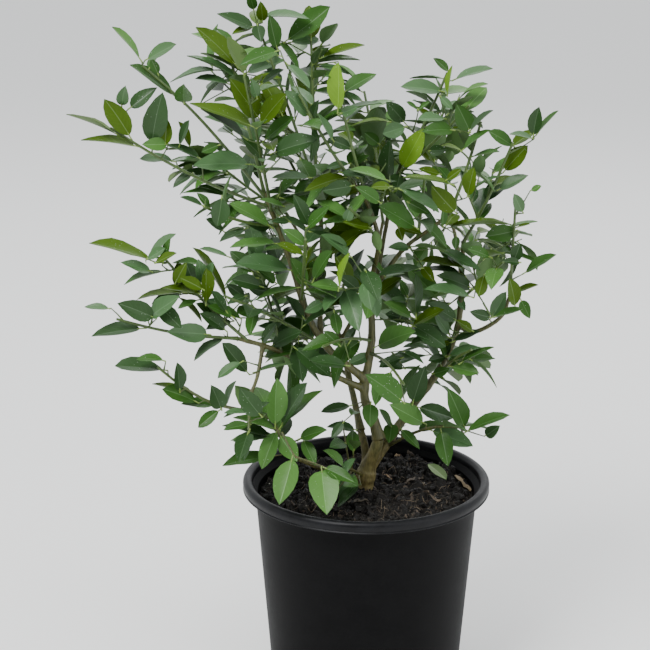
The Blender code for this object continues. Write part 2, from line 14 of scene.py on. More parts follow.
import bmesh
import bpy
from mathutils import Matrix, Vector, noise
from mathutils.bvhtree import BVHTree
from mathutils.geometry import intersect_point_line
from mathutils.kdtree import KDTree

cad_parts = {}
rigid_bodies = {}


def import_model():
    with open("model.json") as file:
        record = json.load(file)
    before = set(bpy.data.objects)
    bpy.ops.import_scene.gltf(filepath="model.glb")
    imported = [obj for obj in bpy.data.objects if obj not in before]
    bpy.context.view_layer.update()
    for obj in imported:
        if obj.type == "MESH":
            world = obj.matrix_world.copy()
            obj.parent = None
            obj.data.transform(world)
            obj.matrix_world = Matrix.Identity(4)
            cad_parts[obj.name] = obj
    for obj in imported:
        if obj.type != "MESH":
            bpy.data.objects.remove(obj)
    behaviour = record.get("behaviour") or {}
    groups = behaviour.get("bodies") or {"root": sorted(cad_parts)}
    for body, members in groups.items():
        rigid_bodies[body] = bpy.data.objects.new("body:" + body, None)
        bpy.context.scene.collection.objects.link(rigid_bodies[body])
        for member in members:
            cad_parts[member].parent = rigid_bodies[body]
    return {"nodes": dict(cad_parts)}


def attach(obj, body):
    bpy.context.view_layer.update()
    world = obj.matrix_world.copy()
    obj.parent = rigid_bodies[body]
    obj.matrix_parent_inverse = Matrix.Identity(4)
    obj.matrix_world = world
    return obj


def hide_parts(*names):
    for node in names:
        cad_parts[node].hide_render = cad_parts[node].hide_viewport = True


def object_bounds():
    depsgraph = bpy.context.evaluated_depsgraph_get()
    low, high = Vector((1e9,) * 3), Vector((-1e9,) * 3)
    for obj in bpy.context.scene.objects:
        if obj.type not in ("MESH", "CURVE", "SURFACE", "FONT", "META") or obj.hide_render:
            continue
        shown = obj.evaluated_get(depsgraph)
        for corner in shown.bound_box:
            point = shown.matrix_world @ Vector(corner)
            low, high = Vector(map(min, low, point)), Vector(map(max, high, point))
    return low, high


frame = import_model()
cad_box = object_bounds()

MM = 0.001
TAU = 2 * math.pi
UP = Vector((0, 0, 1))
LIMB_NODES = [name for name in frame["nodes"] if name == "trunk" or name.startswith(("stem", "bough"))]
SHOOT_NODES = [name for name in frame["nodes"] if name.startswith("leaves")]
print(len(LIMB_NODES), "limbs and", len(SHOOT_NODES), "shoots in the frame")

# %% [markdown]
# ## Floor, light and camera
# The tree is seen from a little above the rim, with a long lens, so the pot's sides stay nearly
# straight. Large soft lamps and a pale room give the even daylight in which leaves show their
# own colours: hard lamps would burn white spots into every glossy leaf.

# %% Floor, lights and camera
FLOOR_SIZE = 40.0
FLOOR_COLOUR = (0.84, 0.84, 0.83)
ROOM_COLOUR = (0.90, 0.92, 0.94)
ROOM_STRENGTH = 1.45
ROOM_DARK_SIDE = (0.24, 0.25, 0.26)
ROOM_TURN = (-0.45, 0.15)
LAMPS = {
    "key": ((-0.9, -1.2, 2.2), 1.1, 64),
    "fill": ((1.7, -1.2, 1.1), 1.8, 20),
    "back": ((0.3, 1.8, 1.9), 1.6, 18),
}
AIM = Vector((0, 0, 0.38))
CAMERA_PLACE = (0.0, -1.4887, 0.7814)
CAMERA_TURN = (math.radians(90 - 16.505), 0.0, math.radians(1.411))
CAMERA_LENS = 98.7


def plain_material(name, colour, roughness):
    made = bpy.data.materials.new(name)
    made.use_nodes = True
    shader = made.node_tree.nodes["Principled BSDF"]
    shader.inputs["Base Color"].default_value = (*colour, 1)
    shader.inputs["Roughness"].default_value = roughness
    return made


def add_floor():
    half = FLOOR_SIZE / 2
    mesh = bpy.data.meshes.new("floor")
    mesh.from_pydata([(-half, -half, 0), (half, -half, 0), (half, half, 0), (-half, half, 0)],
                     [], [(0, 1, 2, 3)])
    mesh.materials.append(plain_material("pale_floor", FLOOR_COLOUR, 0.8))
    floor = bpy.data.objects.new("floor", mesh)
    bpy.context.scene.collection.objects.link(floor)


def add_lamp(name, place, size, power):
    light = bpy.data.lights.new(name, "AREA")
    light.size = size
    light.energy = power
    lamp = bpy.data.objects.new(name, light)
    lamp.location = place
    lamp.rotation_euler = (AIM - Vector(place)).to_track_quat("-Z", "Y").to_euler()
    bpy.context.scene.collection.objects.link(lamp)


def add_room():
    """A room that is light behind the plant and overhead, and dim on the viewer's side."""
    world = bpy.data.worlds.new("room")
    world.use_nodes = True
    tree = world.node_tree
    sky = tree.nodes["Background"]
    heading = tree.nodes.new("ShaderNodeTexCoord").outputs["Generated"]
    slant = tree.nodes.new("ShaderNodeVectorMath")
    slant.operation = "DOT_PRODUCT"
    slant.inputs[1].default_value = (0, 0.85, 0.53)
    tree.links.new(heading, slant.inputs[0])
    share = tree.nodes.new("ShaderNodeMapRange")
    share.interpolation_type = "SMOOTHSTEP"
    tree.links.new(slant.outputs["Value"], share.inputs["Value"])
    share.inputs["From Min"].default_value, share.inputs["From Max"].default_value = ROOM_TURN
    blend = tree.nodes.new("ShaderNodeMix")
    blend.data_type = "RGBA"
    blend.inputs[6].default_value = (*ROOM_DARK_SIDE, 1)
    blend.inputs[7].default_value = (*ROOM_COLOUR, 1)
    tree.links.new(share.outputs[0], blend.inputs[0])
    tree.links.new(blend.outputs[2], sky.inputs["Color"])
    sky.inputs["Strength"].default_value = ROOM_STRENGTH
    bpy.context.scene.world = world


def add_camera():
    lens = bpy.data.cameras.new("camera")
    lens.lens = CAMERA_LENS
    lens.sensor_width = 36
    camera = bpy.data.objects.new("camera", lens)
    camera.location = CAMERA_PLACE
    camera.rotation_euler = CAMERA_TURN
    bpy.context.scene.collection.objects.link(camera)
    bpy.context.scene.camera = camera


add_floor()
add_room()
add_camera()
for lamp_name, settings in LAMPS.items():
    add_lamp(lamp_name, *settings)
print("floor, room, camera and", len(LAMPS), "lamps")

# %% [markdown]
# ## Small helpers for trees of nodes
# Shader groups and Geometry Nodes trees are both node trees with named sockets. A few helpers
# keep each tree short to read: one makes the tree and its sockets, one adds a node with its
# settings, and one runs a Geometry Nodes tree on a mesh and keeps the plain result.

# %% Node helpers
SOCKETS = {"geometry": "NodeSocketGeometry", "float": "NodeSocketFloat", "int": "NodeSocketInt",
           "colour": "NodeSocketColor", "vector": "NodeSocketVector",
           "material": "NodeSocketMaterial"}


def new_tree(kind, name, inputs, outputs):
    """A node tree of a kind, with named inputs and outputs."""
    tree = bpy.data.node_groups.new(name, kind)
    for way, sockets in (("INPUT", inputs), ("OUTPUT", outputs)):
        for socket, form in sockets.items():
            tree.interface.new_socket(name=socket, in_out=way, socket_type=SOCKETS[form])
    return tree, tree.nodes.new("NodeGroupInput"), tree.nodes.new("NodeGroupOutput")


def add(tree, kind, links=(), **settings):
    """A node with its settings; links are (input name or number, source socket or value)."""
    node = tree.nodes.new(kind)
    for key, value in settings.items():
        setattr(node, key, value)
    for socket, source in dict(links).items():
        if isinstance(source, bpy.types.NodeSocket):
            tree.links.new(source, node.inputs[socket])
        else:
            node.inputs[socket].default_value = source
    return node


def math_node(tree, operation, *values):
    return add(tree, "ShaderNodeMath", enumerate(values), operation=operation).outputs[0]


def run_tree(piece, tree, values):
    """Run a Geometry Nodes tree on a piece with these inputs, and keep the plain mesh."""
    modifier = piece.modifiers.new(tree.name, "NODES")
    modifier.node_group = tree
    for item in tree.interface.items_tree:
        if item.in_out == "INPUT" and item.name in values:
            modifier[item.identifier] = values[item.name]
    seen = piece.evaluated_get(bpy.context.evaluated_depsgraph_get())
    mesh = bpy.data.meshes.new_from_object(seen)
    piece.modifiers.clear()
    piece.data = mesh
    mesh.name = piece.name
    return mesh


def new_piece(name, mesh, replaced=()):
    """A piece of the tree: it rides with the pot and stands for CAD nodes."""
    piece = bpy.data.objects.new(name, mesh)
    bpy.context.scene.collection.objects.link(piece)
    finish_piece(piece, replaced)
    return piece


def finish_piece(piece, replaced=()):
    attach(piece, "root")
    if replaced:
        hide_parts(*replaced)
    triangles = sum(len(face.vertices) - 2 for face in piece.data.polygons)
    print(piece.name, triangles, "triangles")


def drafted(name, mesh):
    draft = bpy.data.objects.new(name, mesh)
    bpy.context.scene.collection.objects.link(draft)
    return draft


# %% [markdown]
# ## Finishes
# Each finish is a Principled shader whose colour, roughness and bump come from noise in the
# object's own millimetres, so a pattern has the same size on every piece. The mottle that
# plastic, mix and bark share is one group: it puts out a colour between two tones, a roughness
# and a height.

# %% The shared mottle group
def mixed(tree, factor, first, second):
    """A colour between two, by a factor from 0 to 1."""
    node = add(tree, "ShaderNodeMix", [(0, factor), (6, first), (7, second)], data_type="RGBA")
    return node.outputs[2]


def build_mottle():
    tree, given, result = new_tree("ShaderNodeTree", "mottle", {
        "Dark": "colour", "Light": "colour", "Scale": "float", "Contrast": "float",
        "Roughness": "float", "Variation": "float"},
        {"Colour": "colour", "Roughness": "float", "Height": "float"})
    place = add(tree, "ShaderNodeTexCoord").outputs["Object"]
    coarse = add(tree, "ShaderNodeTexNoise",
                 [("Vector", place), ("Scale", given.outputs["Scale"]), ("Detail", 6.0),
                  ("Roughness", 0.62)]).outputs["Fac"]
    fine_scale = math_node(tree, "MULTIPLY", given.outputs["Scale"], 9.0)
    fine = add(tree, "ShaderNodeTexNoise",
               [("Vector", place), ("Scale", fine_scale), ("Detail", 3.0)]).outputs["Fac"]
    blend = math_node(tree, "ADD", math_node(tree, "MULTIPLY", coarse, 0.65),
                      math_node(tree, "MULTIPLY", fine, 0.35))
    centred = math_node(tree, "SUBTRACT", blend, 0.5)
    spread = add(tree, "ShaderNodeMath", [(0, centred), (1, given.outputs["Contrast"]), (2, 0.5)],
                 operation="MULTIPLY_ADD", use_clamp=True).outputs[0]
    rough = add(tree, "ShaderNodeMath",
                [(0, centred), (1, given.outputs["Variation"]), (2, given.outputs["Roughness"])],
                operation="MULTIPLY_ADD", use_clamp=True).outputs[0]
    tree.links.new(mixed(tree, spread, given.outputs["Dark"], given.outputs["Light"]),
                   result.inputs["Colour"])
    tree.links.new(rough, result.inputs["Roughness"])
    tree.links.new(blend, result.inputs["Height"])
    return tree


MOTTLE = build_mottle()


def mottled(name, dark, light, scale, contrast, roughness, variation, bump, gloss=0.5):
    """A finish from the mottle group, with bumps of the given height in millimetres."""
    made = plain_material(name, light, roughness)
    tree = made.node_tree
    group = add(tree, "ShaderNodeGroup", node_tree=MOTTLE)
    values = {"Dark": (*dark, 1), "Light": (*light, 1), "Scale": scale, "Contrast": contrast,
              "Roughness": roughness, "Variation": variation}
    for socket, value in values.items():
        group.inputs[socket].default_value = value
    relief = add(tree, "ShaderNodeBump", [("Height", group.outputs["Height"]), ("Distance", bump * MM)])
    shader = tree.nodes["Principled BSDF"]
    shader.inputs["Specular IOR Level"].default_value = gloss
    tree.links.new(group.outputs["Colour"], shader.inputs["Base Color"])
    tree.links.new(group.outputs["Roughness"], shader.inputs["Roughness"])
    tree.links.new(relief.outputs["Normal"], shader.inputs["Normal"])
    return made


print("mottle group with", len(MOTTLE.nodes), "nodes")

# %% [markdown]
# ## The pot
# A nursery pot is blow-moulded black plastic: a thin tapered wall and a rolled rim with a fine
# lip under it. It could be lofted from circles, but a turned profile with a Screw modifier gives
# the same shape from one line of places. The drain holes are cut with one Boolean.

# %% The pot's profile
POT_HEIGHT = 200
RIM_RADIUS = 110
BEAD = 4.25
RIM_DEPTH = 10
WALL_TOP_RADIUS = 100
BASE_RADIUS = 84
WALL = 2.2
FLOOR_THICKNESS = 3
FOOT = 1.8
POT_STEPS = 160
HOLES = 6
HOLE_RADIUS = 6
HOLE_RING = 60


def wall_radius(z):
    return BASE_RADIUS + (WALL_TOP_RADIUS - BASE_RADIUS) * z / POT_HEIGHT


def arc(centre, radius, start, end, steps):
    """Places (radius, height) along an arc, by angles in degrees."""
    places = []
    for i in range(steps + 1):
        angle = math.radians(start + (end - start) * i / steps)
        places.append((centre[0] + radius * math.cos(angle), centre[1] + radius * math.sin(angle)))
    return places


def pot_profile():
    """From the axis over the inner floor, up the inner wall, round the rim and down outside."""
    lip = POT_HEIGHT - RIM_DEPTH
    bead_centre = (RIM_RADIUS - BEAD, POT_HEIGHT - BEAD)
    inner_foot = wall_radius(FLOOR_THICKNESS) - WALL
    profile = [(0, FLOOR_THICKNESS)]
    profile += arc((inner_foot - 3, FLOOR_THICKNESS + 3), 3, -90, -5, 5)
    profile += [(wall_radius(z) - WALL, z) for z in (40, 90, 140, 175, lip - 2)]
    profile += [(RIM_RADIUS - 2 * BEAD - 0.2, lip + 2.6)]
    profile += arc(bead_centre, BEAD, 180, 0, 12)
    profile += [(RIM_RADIUS - 0.15, lip + 2.6), (RIM_RADIUS - 0.7, lip + 1.5)]
    profile += arc((RIM_RADIUS - 0.5, lip + 0.6), 0.5, 70, -90, 5)
    profile += [(RIM_RADIUS - 2.2, lip + 0.1), (RIM_RADIUS - 3.2, lip + 1.4)]
    profile += [(WALL_TOP_RADIUS + 2.4, lip + 2.4), (WALL_TOP_RADIUS + 0.3, lip + 1.6)]
    profile += [(wall_radius(z), z) for z in (lip - 1.2, 176, 140, 90, 40, FOOT + 1)]
    profile += arc((BASE_RADIUS - FOOT, FOOT), FOOT, 0, -90, 5)
    return profile + [(0, 0)]


# %% Turn the pot and cut its drain holes
def turned(name, profile, steps):
    mesh = bpy.data.meshes.new(name)
    mesh.from_pydata([(r * MM, 0, z * MM) for r, z in profile],
                     [(i, i + 1) for i in range(len(profile) - 1)], [])
    draft = drafted(name, mesh)
    screw = draft.modifiers.new("Turn", "SCREW")
    screw.steps = screw.render_steps = steps
    screw.use_merge_vertices = True
    screw.merge_threshold = 0.00005
    seen = draft.evaluated_get(bpy.context.evaluated_depsgraph_get())
    draft.data = bpy.data.meshes.new_from_object(seen)
    draft.modifiers.clear()
    return draft


def drain_holes():
    bm = bmesh.new()
    for i in range(HOLES):
        angle = TAU * (i + 0.5) / HOLES
        place = Vector((HOLE_RING * math.cos(angle), HOLE_RING * math.sin(angle), 1)) * MM
        bmesh.ops.create_cone(bm, cap_ends=True, segments=32, radius1=HOLE_RADIUS * MM,
                              radius2=HOLE_RADIUS * MM, depth=4 * FLOOR_THICKNESS * MM,
                              matrix=Matrix.Translation(place))
    mesh = bpy.data.meshes.new("drain_holes")
    bm.to_mesh(mesh)
    bm.free()
    return drafted("drain_holes", mesh)


def make_pot():
    pot = turned("nursery_pot", pot_profile(), POT_STEPS)
    holes = drain_holes()
    cut = pot.modifiers.new("Holes", "BOOLEAN")
    cut.operation = "DIFFERENCE"
    cut.object = holes
    seen = pot.evaluated_get(bpy.context.evaluated_depsgraph_get())
    pot.data = bpy.data.meshes.new_from_object(seen)
    pot.modifiers.clear()
    bpy.data.objects.remove(holes)
    pot.data.materials.clear()
    pot.data.materials.append(mottled("wall_plastic", (0.0022, 0.0022, 0.0024), (0.0052, 0.0052, 0.0055),
                                      42, 2.2, 0.52, 0.25, 0.16, 0.06))
    # The rim's finish is lighter, bluer and more blotchy than the wall's: a painted highlight along the rolled
    # rim. Its higher gloss is real.
    pot.data.materials.append(mottled("rim_plastic_painted_highlight", (0.0018, 0.0019, 0.0023), (0.0078, 0.0082, 0.0098),
                                      70, 3.4, 0.42, 0.35, 0.25, 0.17))
    for face in pot.data.polygons:
        out = math.hypot(face.center.x, face.center.y)
        on_painted_highlight_rim = face.center.z > (POT_HEIGHT - RIM_DEPTH - 1) * MM and out > (WALL_TOP_RADIUS + 0.5) * MM
        face.material_index = 1 if on_painted_highlight_rim else 0
    pot.data.shade_smooth()
    pot.data.set_sharp_from_angle(angle=math.radians(38))
    finish_piece(pot, ["pot"])


make_pot()

# %% [markdown]
# ## Where the limbs run
# A limb is one long tapering cone of wood that leaves its parent at a share of the parent's
# length. It could be drawn as a Bezier curve by hand, but a table of a few places and a smooth
# line through them is shorter, and the same line can be asked where it is at any distance.

# %% Smooth lines
class Path:
    """A smooth line through given places, read by the distance along it."""

    def __init__(self, places, step=3 * MM):
        self.points = [places[0].copy()]
        for i in range(len(places) - 1):
            before = places[i - 1] if i else places[0] * 2 - places[1]
            after = places[i + 2] if i + 2 < len(places) else places[i + 1] * 2 - places[i]
            count = max(2, round((places[i + 1] - places[i]).length / step))
            for k in range(1, count + 1):
                self.points.append(between(before, places[i], places[i + 1], after, k / count))
        self.marks = [0.0]
        for a, b in zip(self.points, self.points[1:]):
            self.marks.append(self.marks[-1] + (b - a).length)
        self.length = self.marks[-1]

    def at(self, distance):
        """The place and the direction at a distance from the start."""
        distance = min(max(distance, 0.0), self.length)
        i = 0
        while i < len(self.marks) - 2 and self.marks[i + 1] < distance:
            i += 1
        a, b = self.points[i], self.points[i + 1]
        part = (distance - self.marks[i]) / (self.marks[i + 1] - self.marks[i])
        return a.lerp(b, part), (b - a).normalized()


def between(before, start, end, after, t):
    """A place on the Catmull-Rom curve from start to end."""
    return 0.5 * (2 * start + (end - before) * t
                  + (2 * before - 5 * start + 4 * end - after) * t * t
                  + (3 * start - before - 3 * end + after) * t ** 3)


def metres(place):
    return Vector(place) * MM


def perpendicular(axis, turn):
    """A unit vector square to the axis, turned about it."""
    flat = axis.cross(UP)
    if flat.length < 0.05:
        flat = axis.cross(Vector((0, 1, 0)))
    flat.normalize()
    return Matrix.Rotation(turn, 3, axis) @ flat


# %% The limbs: parent, share of its length, places, and radii at both ends
Limb = namedtuple("Limb", "parent at through radii")
LIMBS = {
    "trunk": Limb(None, 0, [(-1, 0, 187), (0, 0, 201), (4, 0, 216)], (6.9, 6.0)),
    "fork_left": Limb("trunk", 0.55, [(-1, 4, 224), (-5, 8, 240)], (3.7, 3.3)),
    "fork_middle": Limb("trunk", 0.80, [(8, -4, 226), (11, -6, 238)], (5.0, 4.6)),
    "fork_right": Limb("trunk", 0.60, [(12, 6, 219), (19, 10, 229)], (4.5, 4.1)),
    "stem_left": Limb("fork_left", 1, [(-12, 28, 266), (-24, 62, 305), (-36, 96, 345)], (3.2, 1.9)),
    "stem_middle": Limb("fork_middle", 1, [(6, -6, 256), (-2, -4, 279), (4, 0, 327), (2, 5, 374)],
                        (4.5, 2.8)),
    "stem_right": Limb("fork_right", 1, [(43, 20, 262), (66, 25, 295), (81, 24, 338), (83, 18, 410)],
                       (4.0, 2.0)),
    "bough_left": Limb("stem_middle", 0.40, [(-34, -15, 324), (-52, -22, 358), (-66, -25, 405),
                                             (-88, -15, 462)], (3.4, 1.9)),
    "bough_center": Limb("bough_left", 0.30, [(-41, 3, 368), (-40, 20, 415), (-45, 30, 470)],
                         (2.6, 1.7)),
    "bough_low_left": Limb("stem_middle", 0.34, [(-47, -25, 310), (-83, -38, 331), (-110, -45, 341)],
                           (2.8, 1.8)),
    "bough_hanging": Limb("bough_low_left", 0.82, [(-94, -55, 306), (-106, -62, 283)], (1.8, 1.5)),
    "bough_low": Limb("trunk", 0.35, [(-29, -20, 210), (-60, -38, 230)], (2.1, 1.6)),
    "bough_far_right": Limb("stem_right", 0.62, [(95, 20, 329), (117, 12, 345), (124, 8, 366)],
                            (2.3, 1.6)),
    "bough_right": Limb("stem_middle", 0.95, [(30, -12, 411), (56, -25, 435), (69, -30, 448)],
                        (2.4, 1.6)),
    "bough_upper": Limb("stem_middle", 1, [(9, -24, 420), (0, -40, 456), (-13, -48, 478)],
                        (2.5, 1.6)),
    "bough_top_right": Limb("stem_middle", 0.85, [(16, 18, 425), (22, 25, 457), (28, 28, 476)],
                            (2.3, 1.6)),
    "bough_rear": Limb("stem_left", 0.62, [(2, 92, 355), (14, 118, 405)], (2.0, 1.6)),
    "bough_rear_left": Limb("stem_left", 1, [(-52, 112, 375), (-75, 118, 412)], (1.8, 1.5)),
    "bough_rear_right": Limb("stem_right", 0.70, [(82, 62, 385), (72, 98, 430)], (2.0, 1.6)),
}
Grown = namedtuple("Grown", "path radii")
GAP = 0.3


def limb_paths():
    """Every limb's path, from its parent's own middle line, and its radii, in metres."""
    limbs = {}
    for name, limb in LIMBS.items():
        places = [metres(p) for p in limb.through]
        if limb.parent:
            parent = limbs[limb.parent].path
            places.insert(0, parent.at(parent.length * limb.at)[0])
        limbs[name] = Grown(Path(places), tuple(r * MM for r in limb.radii))
    return limbs


LIMB_PATHS = limb_paths()
print(round(sum(grown.path.length for grown in LIMB_PATHS.values()), 2), "m of limbs")

# %% [markdown]
# ## Where the leafy shoots run
# A shoot is this year's green stem. Each has its own space in the crown: the places that lie
# nearer to its stem than to any other, clear of wood and pot. A leaf or twig that would leave
# the space by much is not grown, so the sprays weave into each other only at their edges, and
# the sky shows between them as it does on a real tree.

# %% The shoots: limb, share of its length, tip, bow, leaf length, seed, and gap between leaves
Shoot = namedtuple("Shoot", "limb at tip bow leaf seed gap", defaults=(13,))
SHOOTS = {
    "leaves_low_left_end": Shoot("bough_low_left", 1, (-208, -74, 366), -4, 40, 108),
    "leaves_low_left_up": Shoot("bough_low_left", 0.93, (-174, -56, 420), -4, 42, 26),
    "leaves_low_left_inner": Shoot("bough_low_left", 0.68, (-93, -30, 405), 4, 40, 40),
    "leaves_hanging_out": Shoot("bough_hanging", 1, (-174, -82, 327), -8, 40, 23),
    "leaves_hanging_in": Shoot("bough_hanging", 0.72, (-98, -92, 276), 4, 42, 78, 10),
    "leaves_rosette": Shoot("bough_low", 1, (-82, -50, 276), -8, 50, 96, 9),
    "leaves_foot": Shoot("trunk", 0.42, (-24, -42, 222), 3, 28, 108, 10),
    "leaves_left_reach": Shoot("bough_left", 0.925, (-212, -45, 521), -6, 40, 70),
    "leaves_left_rise": Shoot("bough_left", 0.965, (-185, -38, 571), 8, 40, 31),
    "leaves_left_top": Shoot("bough_left", 1, (-121, 4, 590), 4, 42, 57),
    "leaves_left_front": Shoot("bough_left", 0.90, (-100, -62, 566), 2, 42, 95),
    "leaves_crown_top": Shoot("bough_center", 0.85, (-96, 36, 598), 4, 42, 111),
    "leaves_crown_top_right": Shoot("bough_center", 1, (-50, 52, 580), -2, 42, 53),
    "leaves_yellow_tip": Shoot("bough_upper", 0.72, (-22, -56, 542), -3, 42, 97),
    "leaves_upper_front": Shoot("bough_upper", 1, (-56, -64, 552), -3, 42, 118),
    "leaves_left_low_front": Shoot("bough_left", 0.84, (-132, -92, 466), -4, 42, 89),
    "leaves_right_top": Shoot("bough_top_right", 1, (67, 32, 556), -5, 40, 45),
    "leaves_right_top_front": Shoot("bough_top_right", 0.93, (84, -6, 534), -2, 40, 4),
    "leaves_right_shoot": Shoot("bough_right", 1, (92, -42, 527), -4, 40, 113),
    "leaves_right_upper": Shoot("stem_right", 1, (122, 0, 502), -5, 38, 85),
    "leaves_far_right": Shoot("bough_far_right", 1, (126, 2, 448), 3, 38, 21),
    "leaves_right_front": Shoot("stem_right", 0.74, (114, -36, 407), 0, 42, 97),
    "leaves_right_low": Shoot("stem_right", 0.36, (90, -24, 326), 3, 42, 109),
    "leaves_right_foot": Shoot("fork_right", 0.85, (86, -22, 254), 8, 44, 94),
    "leaves_middle_front": Shoot("stem_middle", 0.58, (31, -84, 314), 5, 46, 16),
    "leaves_right_inner": Shoot("bough_right", 0.66, (46, -68, 486), 0, 42, 114),
    "leaves_center_low": Shoot("stem_middle", 0.66, (-36, -88, 348), 4, 42, 84),
    "leaves_center_left": Shoot("bough_left", 0.50, (-50, -98, 441), 2, 42, 66),
    "leaves_center_high": Shoot("bough_upper", 0.48, (-16, -100, 468), 2, 42, 24),
    "leaves_thin_left": Shoot("bough_left", 0.24, (-118, -66, 384), 3, 38, 106),
    "leaves_center": Shoot("stem_middle", 0.86, (-2, -90, 414), 2, 42, 16),
    "leaves_rear_left_end": Shoot("bough_rear_left", 1, (-140, 112, 462), -2, 42, 27),
    "leaves_rear_left_low": Shoot("bough_rear_left", 0.55, (-112, 140, 372), 4, 42, 59),
    "leaves_rear_end": Shoot("bough_rear", 1, (2, 138, 482), -2, 42, 103),
    "leaves_rear_low": Shoot("bough_rear", 0.45, (34, 150, 350), 6, 42, 29),
    "leaves_rear_right_end": Shoot("bough_rear_right", 1, (62, 112, 512), 2, 42, 19),
    "leaves_rear_right_low": Shoot("bough_rear_right", 0.55, (126, 104, 398), 0, 42, 10),
    "leaves_rear_foot": Shoot("stem_left", 0.38, (-72, 104, 294), 6, 42, 52),
    "leaves_rear_high": Shoot("bough_center", 0.72, (-92, 98, 506), 0, 42, 60),
    "leaves_rear_top": Shoot("bough_top_right", 0.66, (-4, 92, 530), 0, 42, 10),
    "leaves_rear_right_foot": Shoot("stem_right", 0.30, (84, 92, 290), 4, 42, 113),
}
STEM_RADII = (1.5, 1.1)


def shoot_paths():
    """Every leafy shoot's stem, from just outside its limb."""
    paths = {}
    for name, shoot in SHOOTS.items():
        grown = LIMB_PATHS[shoot.limb]
        place, along = grown.path.at(grown.path.length * shoot.at)
        tip = metres(shoot.tip)
        radius = grown.radii[0] + (grown.radii[1] - grown.radii[0]) * shoot.at
        start = place + along * GAP * MM
        if shoot.at < 1:
            start = place + (tip - place).normalized() * (radius + (GAP + STEM_RADII[0]) * MM)
        paths[name] = Path([start, (start + tip) / 2 + UP * shoot.bow * MM, tip])
    return paths


SHOOT_PATHS = shoot_paths()
print(round(sum(path.length for path in SHOOT_PATHS.values()), 2), "m of leafy shoots")

# %% The space of each shoot
REACH = 68
WEAVE = 14
BOX_SLACK = 2
CORE_MIDDLE = Vector((-18, 0, 372)) * MM
CORE_SIZES = (112, 92, 118)
EDGE_REACH = 11
LOW_SHOOTS = ("leaves_rosette", "leaves_foot")
BARE_OVER_MIX = 45
FOOT_HEIGHT = 290
FOOT_BARE = 48
FOOT_FORWARD = 22
LIMB_CLEARANCE = 0.8
POT_CLEARANCE = 1.5
WALL_CLEARANCE = 6
SOIL_LEVEL = 187


class Spaces:
    """Tells whether a place is inside a shoot's own space and clear of all else."""

    def __init__(self):
        samples = []
        for grown in LIMB_PATHS.values():
            count = len(grown.path.points) - 1
            root, tip = grown.radii
            samples += [(place, root + (tip - root) * i / count)
                        for i, place in enumerate(grown.path.points)]
        self.limb_tree = self.tree_of([place for place, _ in samples])
        self.limb_radii = [radius for _, radius in samples]
        self.thickest = max(self.limb_radii)
        self.shoot_trees = {name: self.tree_of(path.points) for name, path in SHOOT_PATHS.items()}
        self.masses = {name: self.mass_tree(frame["nodes"][name]) for name in SHOOT_PATHS}

    @staticmethod
    def tree_of(places):
        tree = KDTree(len(places))
        for i, place in enumerate(places):
            tree.insert(place, i)
        tree.balance()
        return tree

    @staticmethod
    def mass_tree(node):
        """The frame's own solid for a shoot, which shows how far its spray reaches."""
        mesh = node.data
        corners = [node.matrix_world @ vertex.co for vertex in mesh.vertices]
        return BVHTree.FromPolygons(corners, [tuple(face.vertices) for face in mesh.polygons])

    def in_reach(self, name, place):
        """In the core of the crown, or close to where the spray's solid reaches."""
        offset = place - CORE_MIDDLE
        if sum((offset[i] / (CORE_SIZES[i] * MM)) ** 2 for i in range(3)) < 1:
            return True
        return self.masses[name].find_nearest(place, EDGE_REACH * MM)[0] is not None

    def clear_of_limbs(self, place):
        clearance = LIMB_CLEARANCE * MM
        found = self.limb_tree.find_range(place, self.thickest + clearance)
        return all(distance >= self.limb_radii[i] + clearance for _, i, distance in found)

    def clear_of_pot(self, place):
        """Above the potting mix, and out of the wall and its rolled rim."""
        if place.z > (POT_HEIGHT + POT_CLEARANCE) * MM:
            return True
        out = math.hypot(place.x, place.y)
        over_soil = place.z > (SOIL_LEVEL + POT_CLEARANCE) * MM
        inside = out < (WALL_TOP_RADIUS - WALL_CLEARANCE) * MM
        return (inside and over_soil) or out > (RIM_RADIUS + POT_CLEARANCE) * MM

    def owns(self, name, place):
        """Near its own stem, and not much nearer to another."""
        own = self.shoot_trees[name].find(place)[2]
        if own > REACH * MM:
            return False
        limit = own - WEAVE * MM
        return all(tree.find(place)[2] > limit
                   for other, tree in self.shoot_trees.items() if other != name)

    def in_box(self, place):
        """Inside the box of the whole plant."""
        low, high = cad_box
        slack = BOX_SLACK * MM
        return all(low[i] - slack < place[i] < high[i] + slack for i in range(3))

    def clear_of_foot(self, name, place):
        """Only the lowest two shoots hang over the mix or hide the trunk's foot."""
        over_pot = math.hypot(place.x, place.y) < RIM_RADIUS * MM
        if over_pot and place.z < (SOIL_LEVEL + BARE_OVER_MIX) * MM:
            return name in LOW_SHOOTS
        if name == "leaves_foot" or place.z > FOOT_HEIGHT * MM:
            return True
        return math.hypot(place.x, place.y + FOOT_FORWARD * MM) > FOOT_BARE * MM

    def fits(self, name, places):
        return all(self.in_box(p) and self.clear_of_foot(name, p) and self.clear_of_pot(p)
                   and self.clear_of_limbs(p) and self.owns(name, p) for p in places)


# %% [markdown]
# ## How a shoot grows
# Leaves stand in a spiral, each a golden turn on from the last. Every second one has a side twig
# in its axil, and each tip carries a small tuft. Then finer twigs and single leaves fill the
# space that is left, until the spray has its number of leaves. A particle system would be quicker
# to set up, but it can't test that a new leaf crosses no other, and its copies are lost on export.

# %% A leaf's own frame
LEAF_WIDTH = 0.46
LEAF_WIDEST = 0.48
LEAF_FOLD = 0.32
LEAF_FREE = 0.09
MIDRIB_SPOTS = (0.28, 0.52, 0.8, 1)
MARGIN_SPOTS = ((0.3, 0.55), (0.52, 1), (0.76, 0.5))
Leaf = namedtuple("Leaf", "root along face length arch spray width", defaults=(LEAF_WIDTH,))
Twig = namedtuple("Twig", "start end thickness")


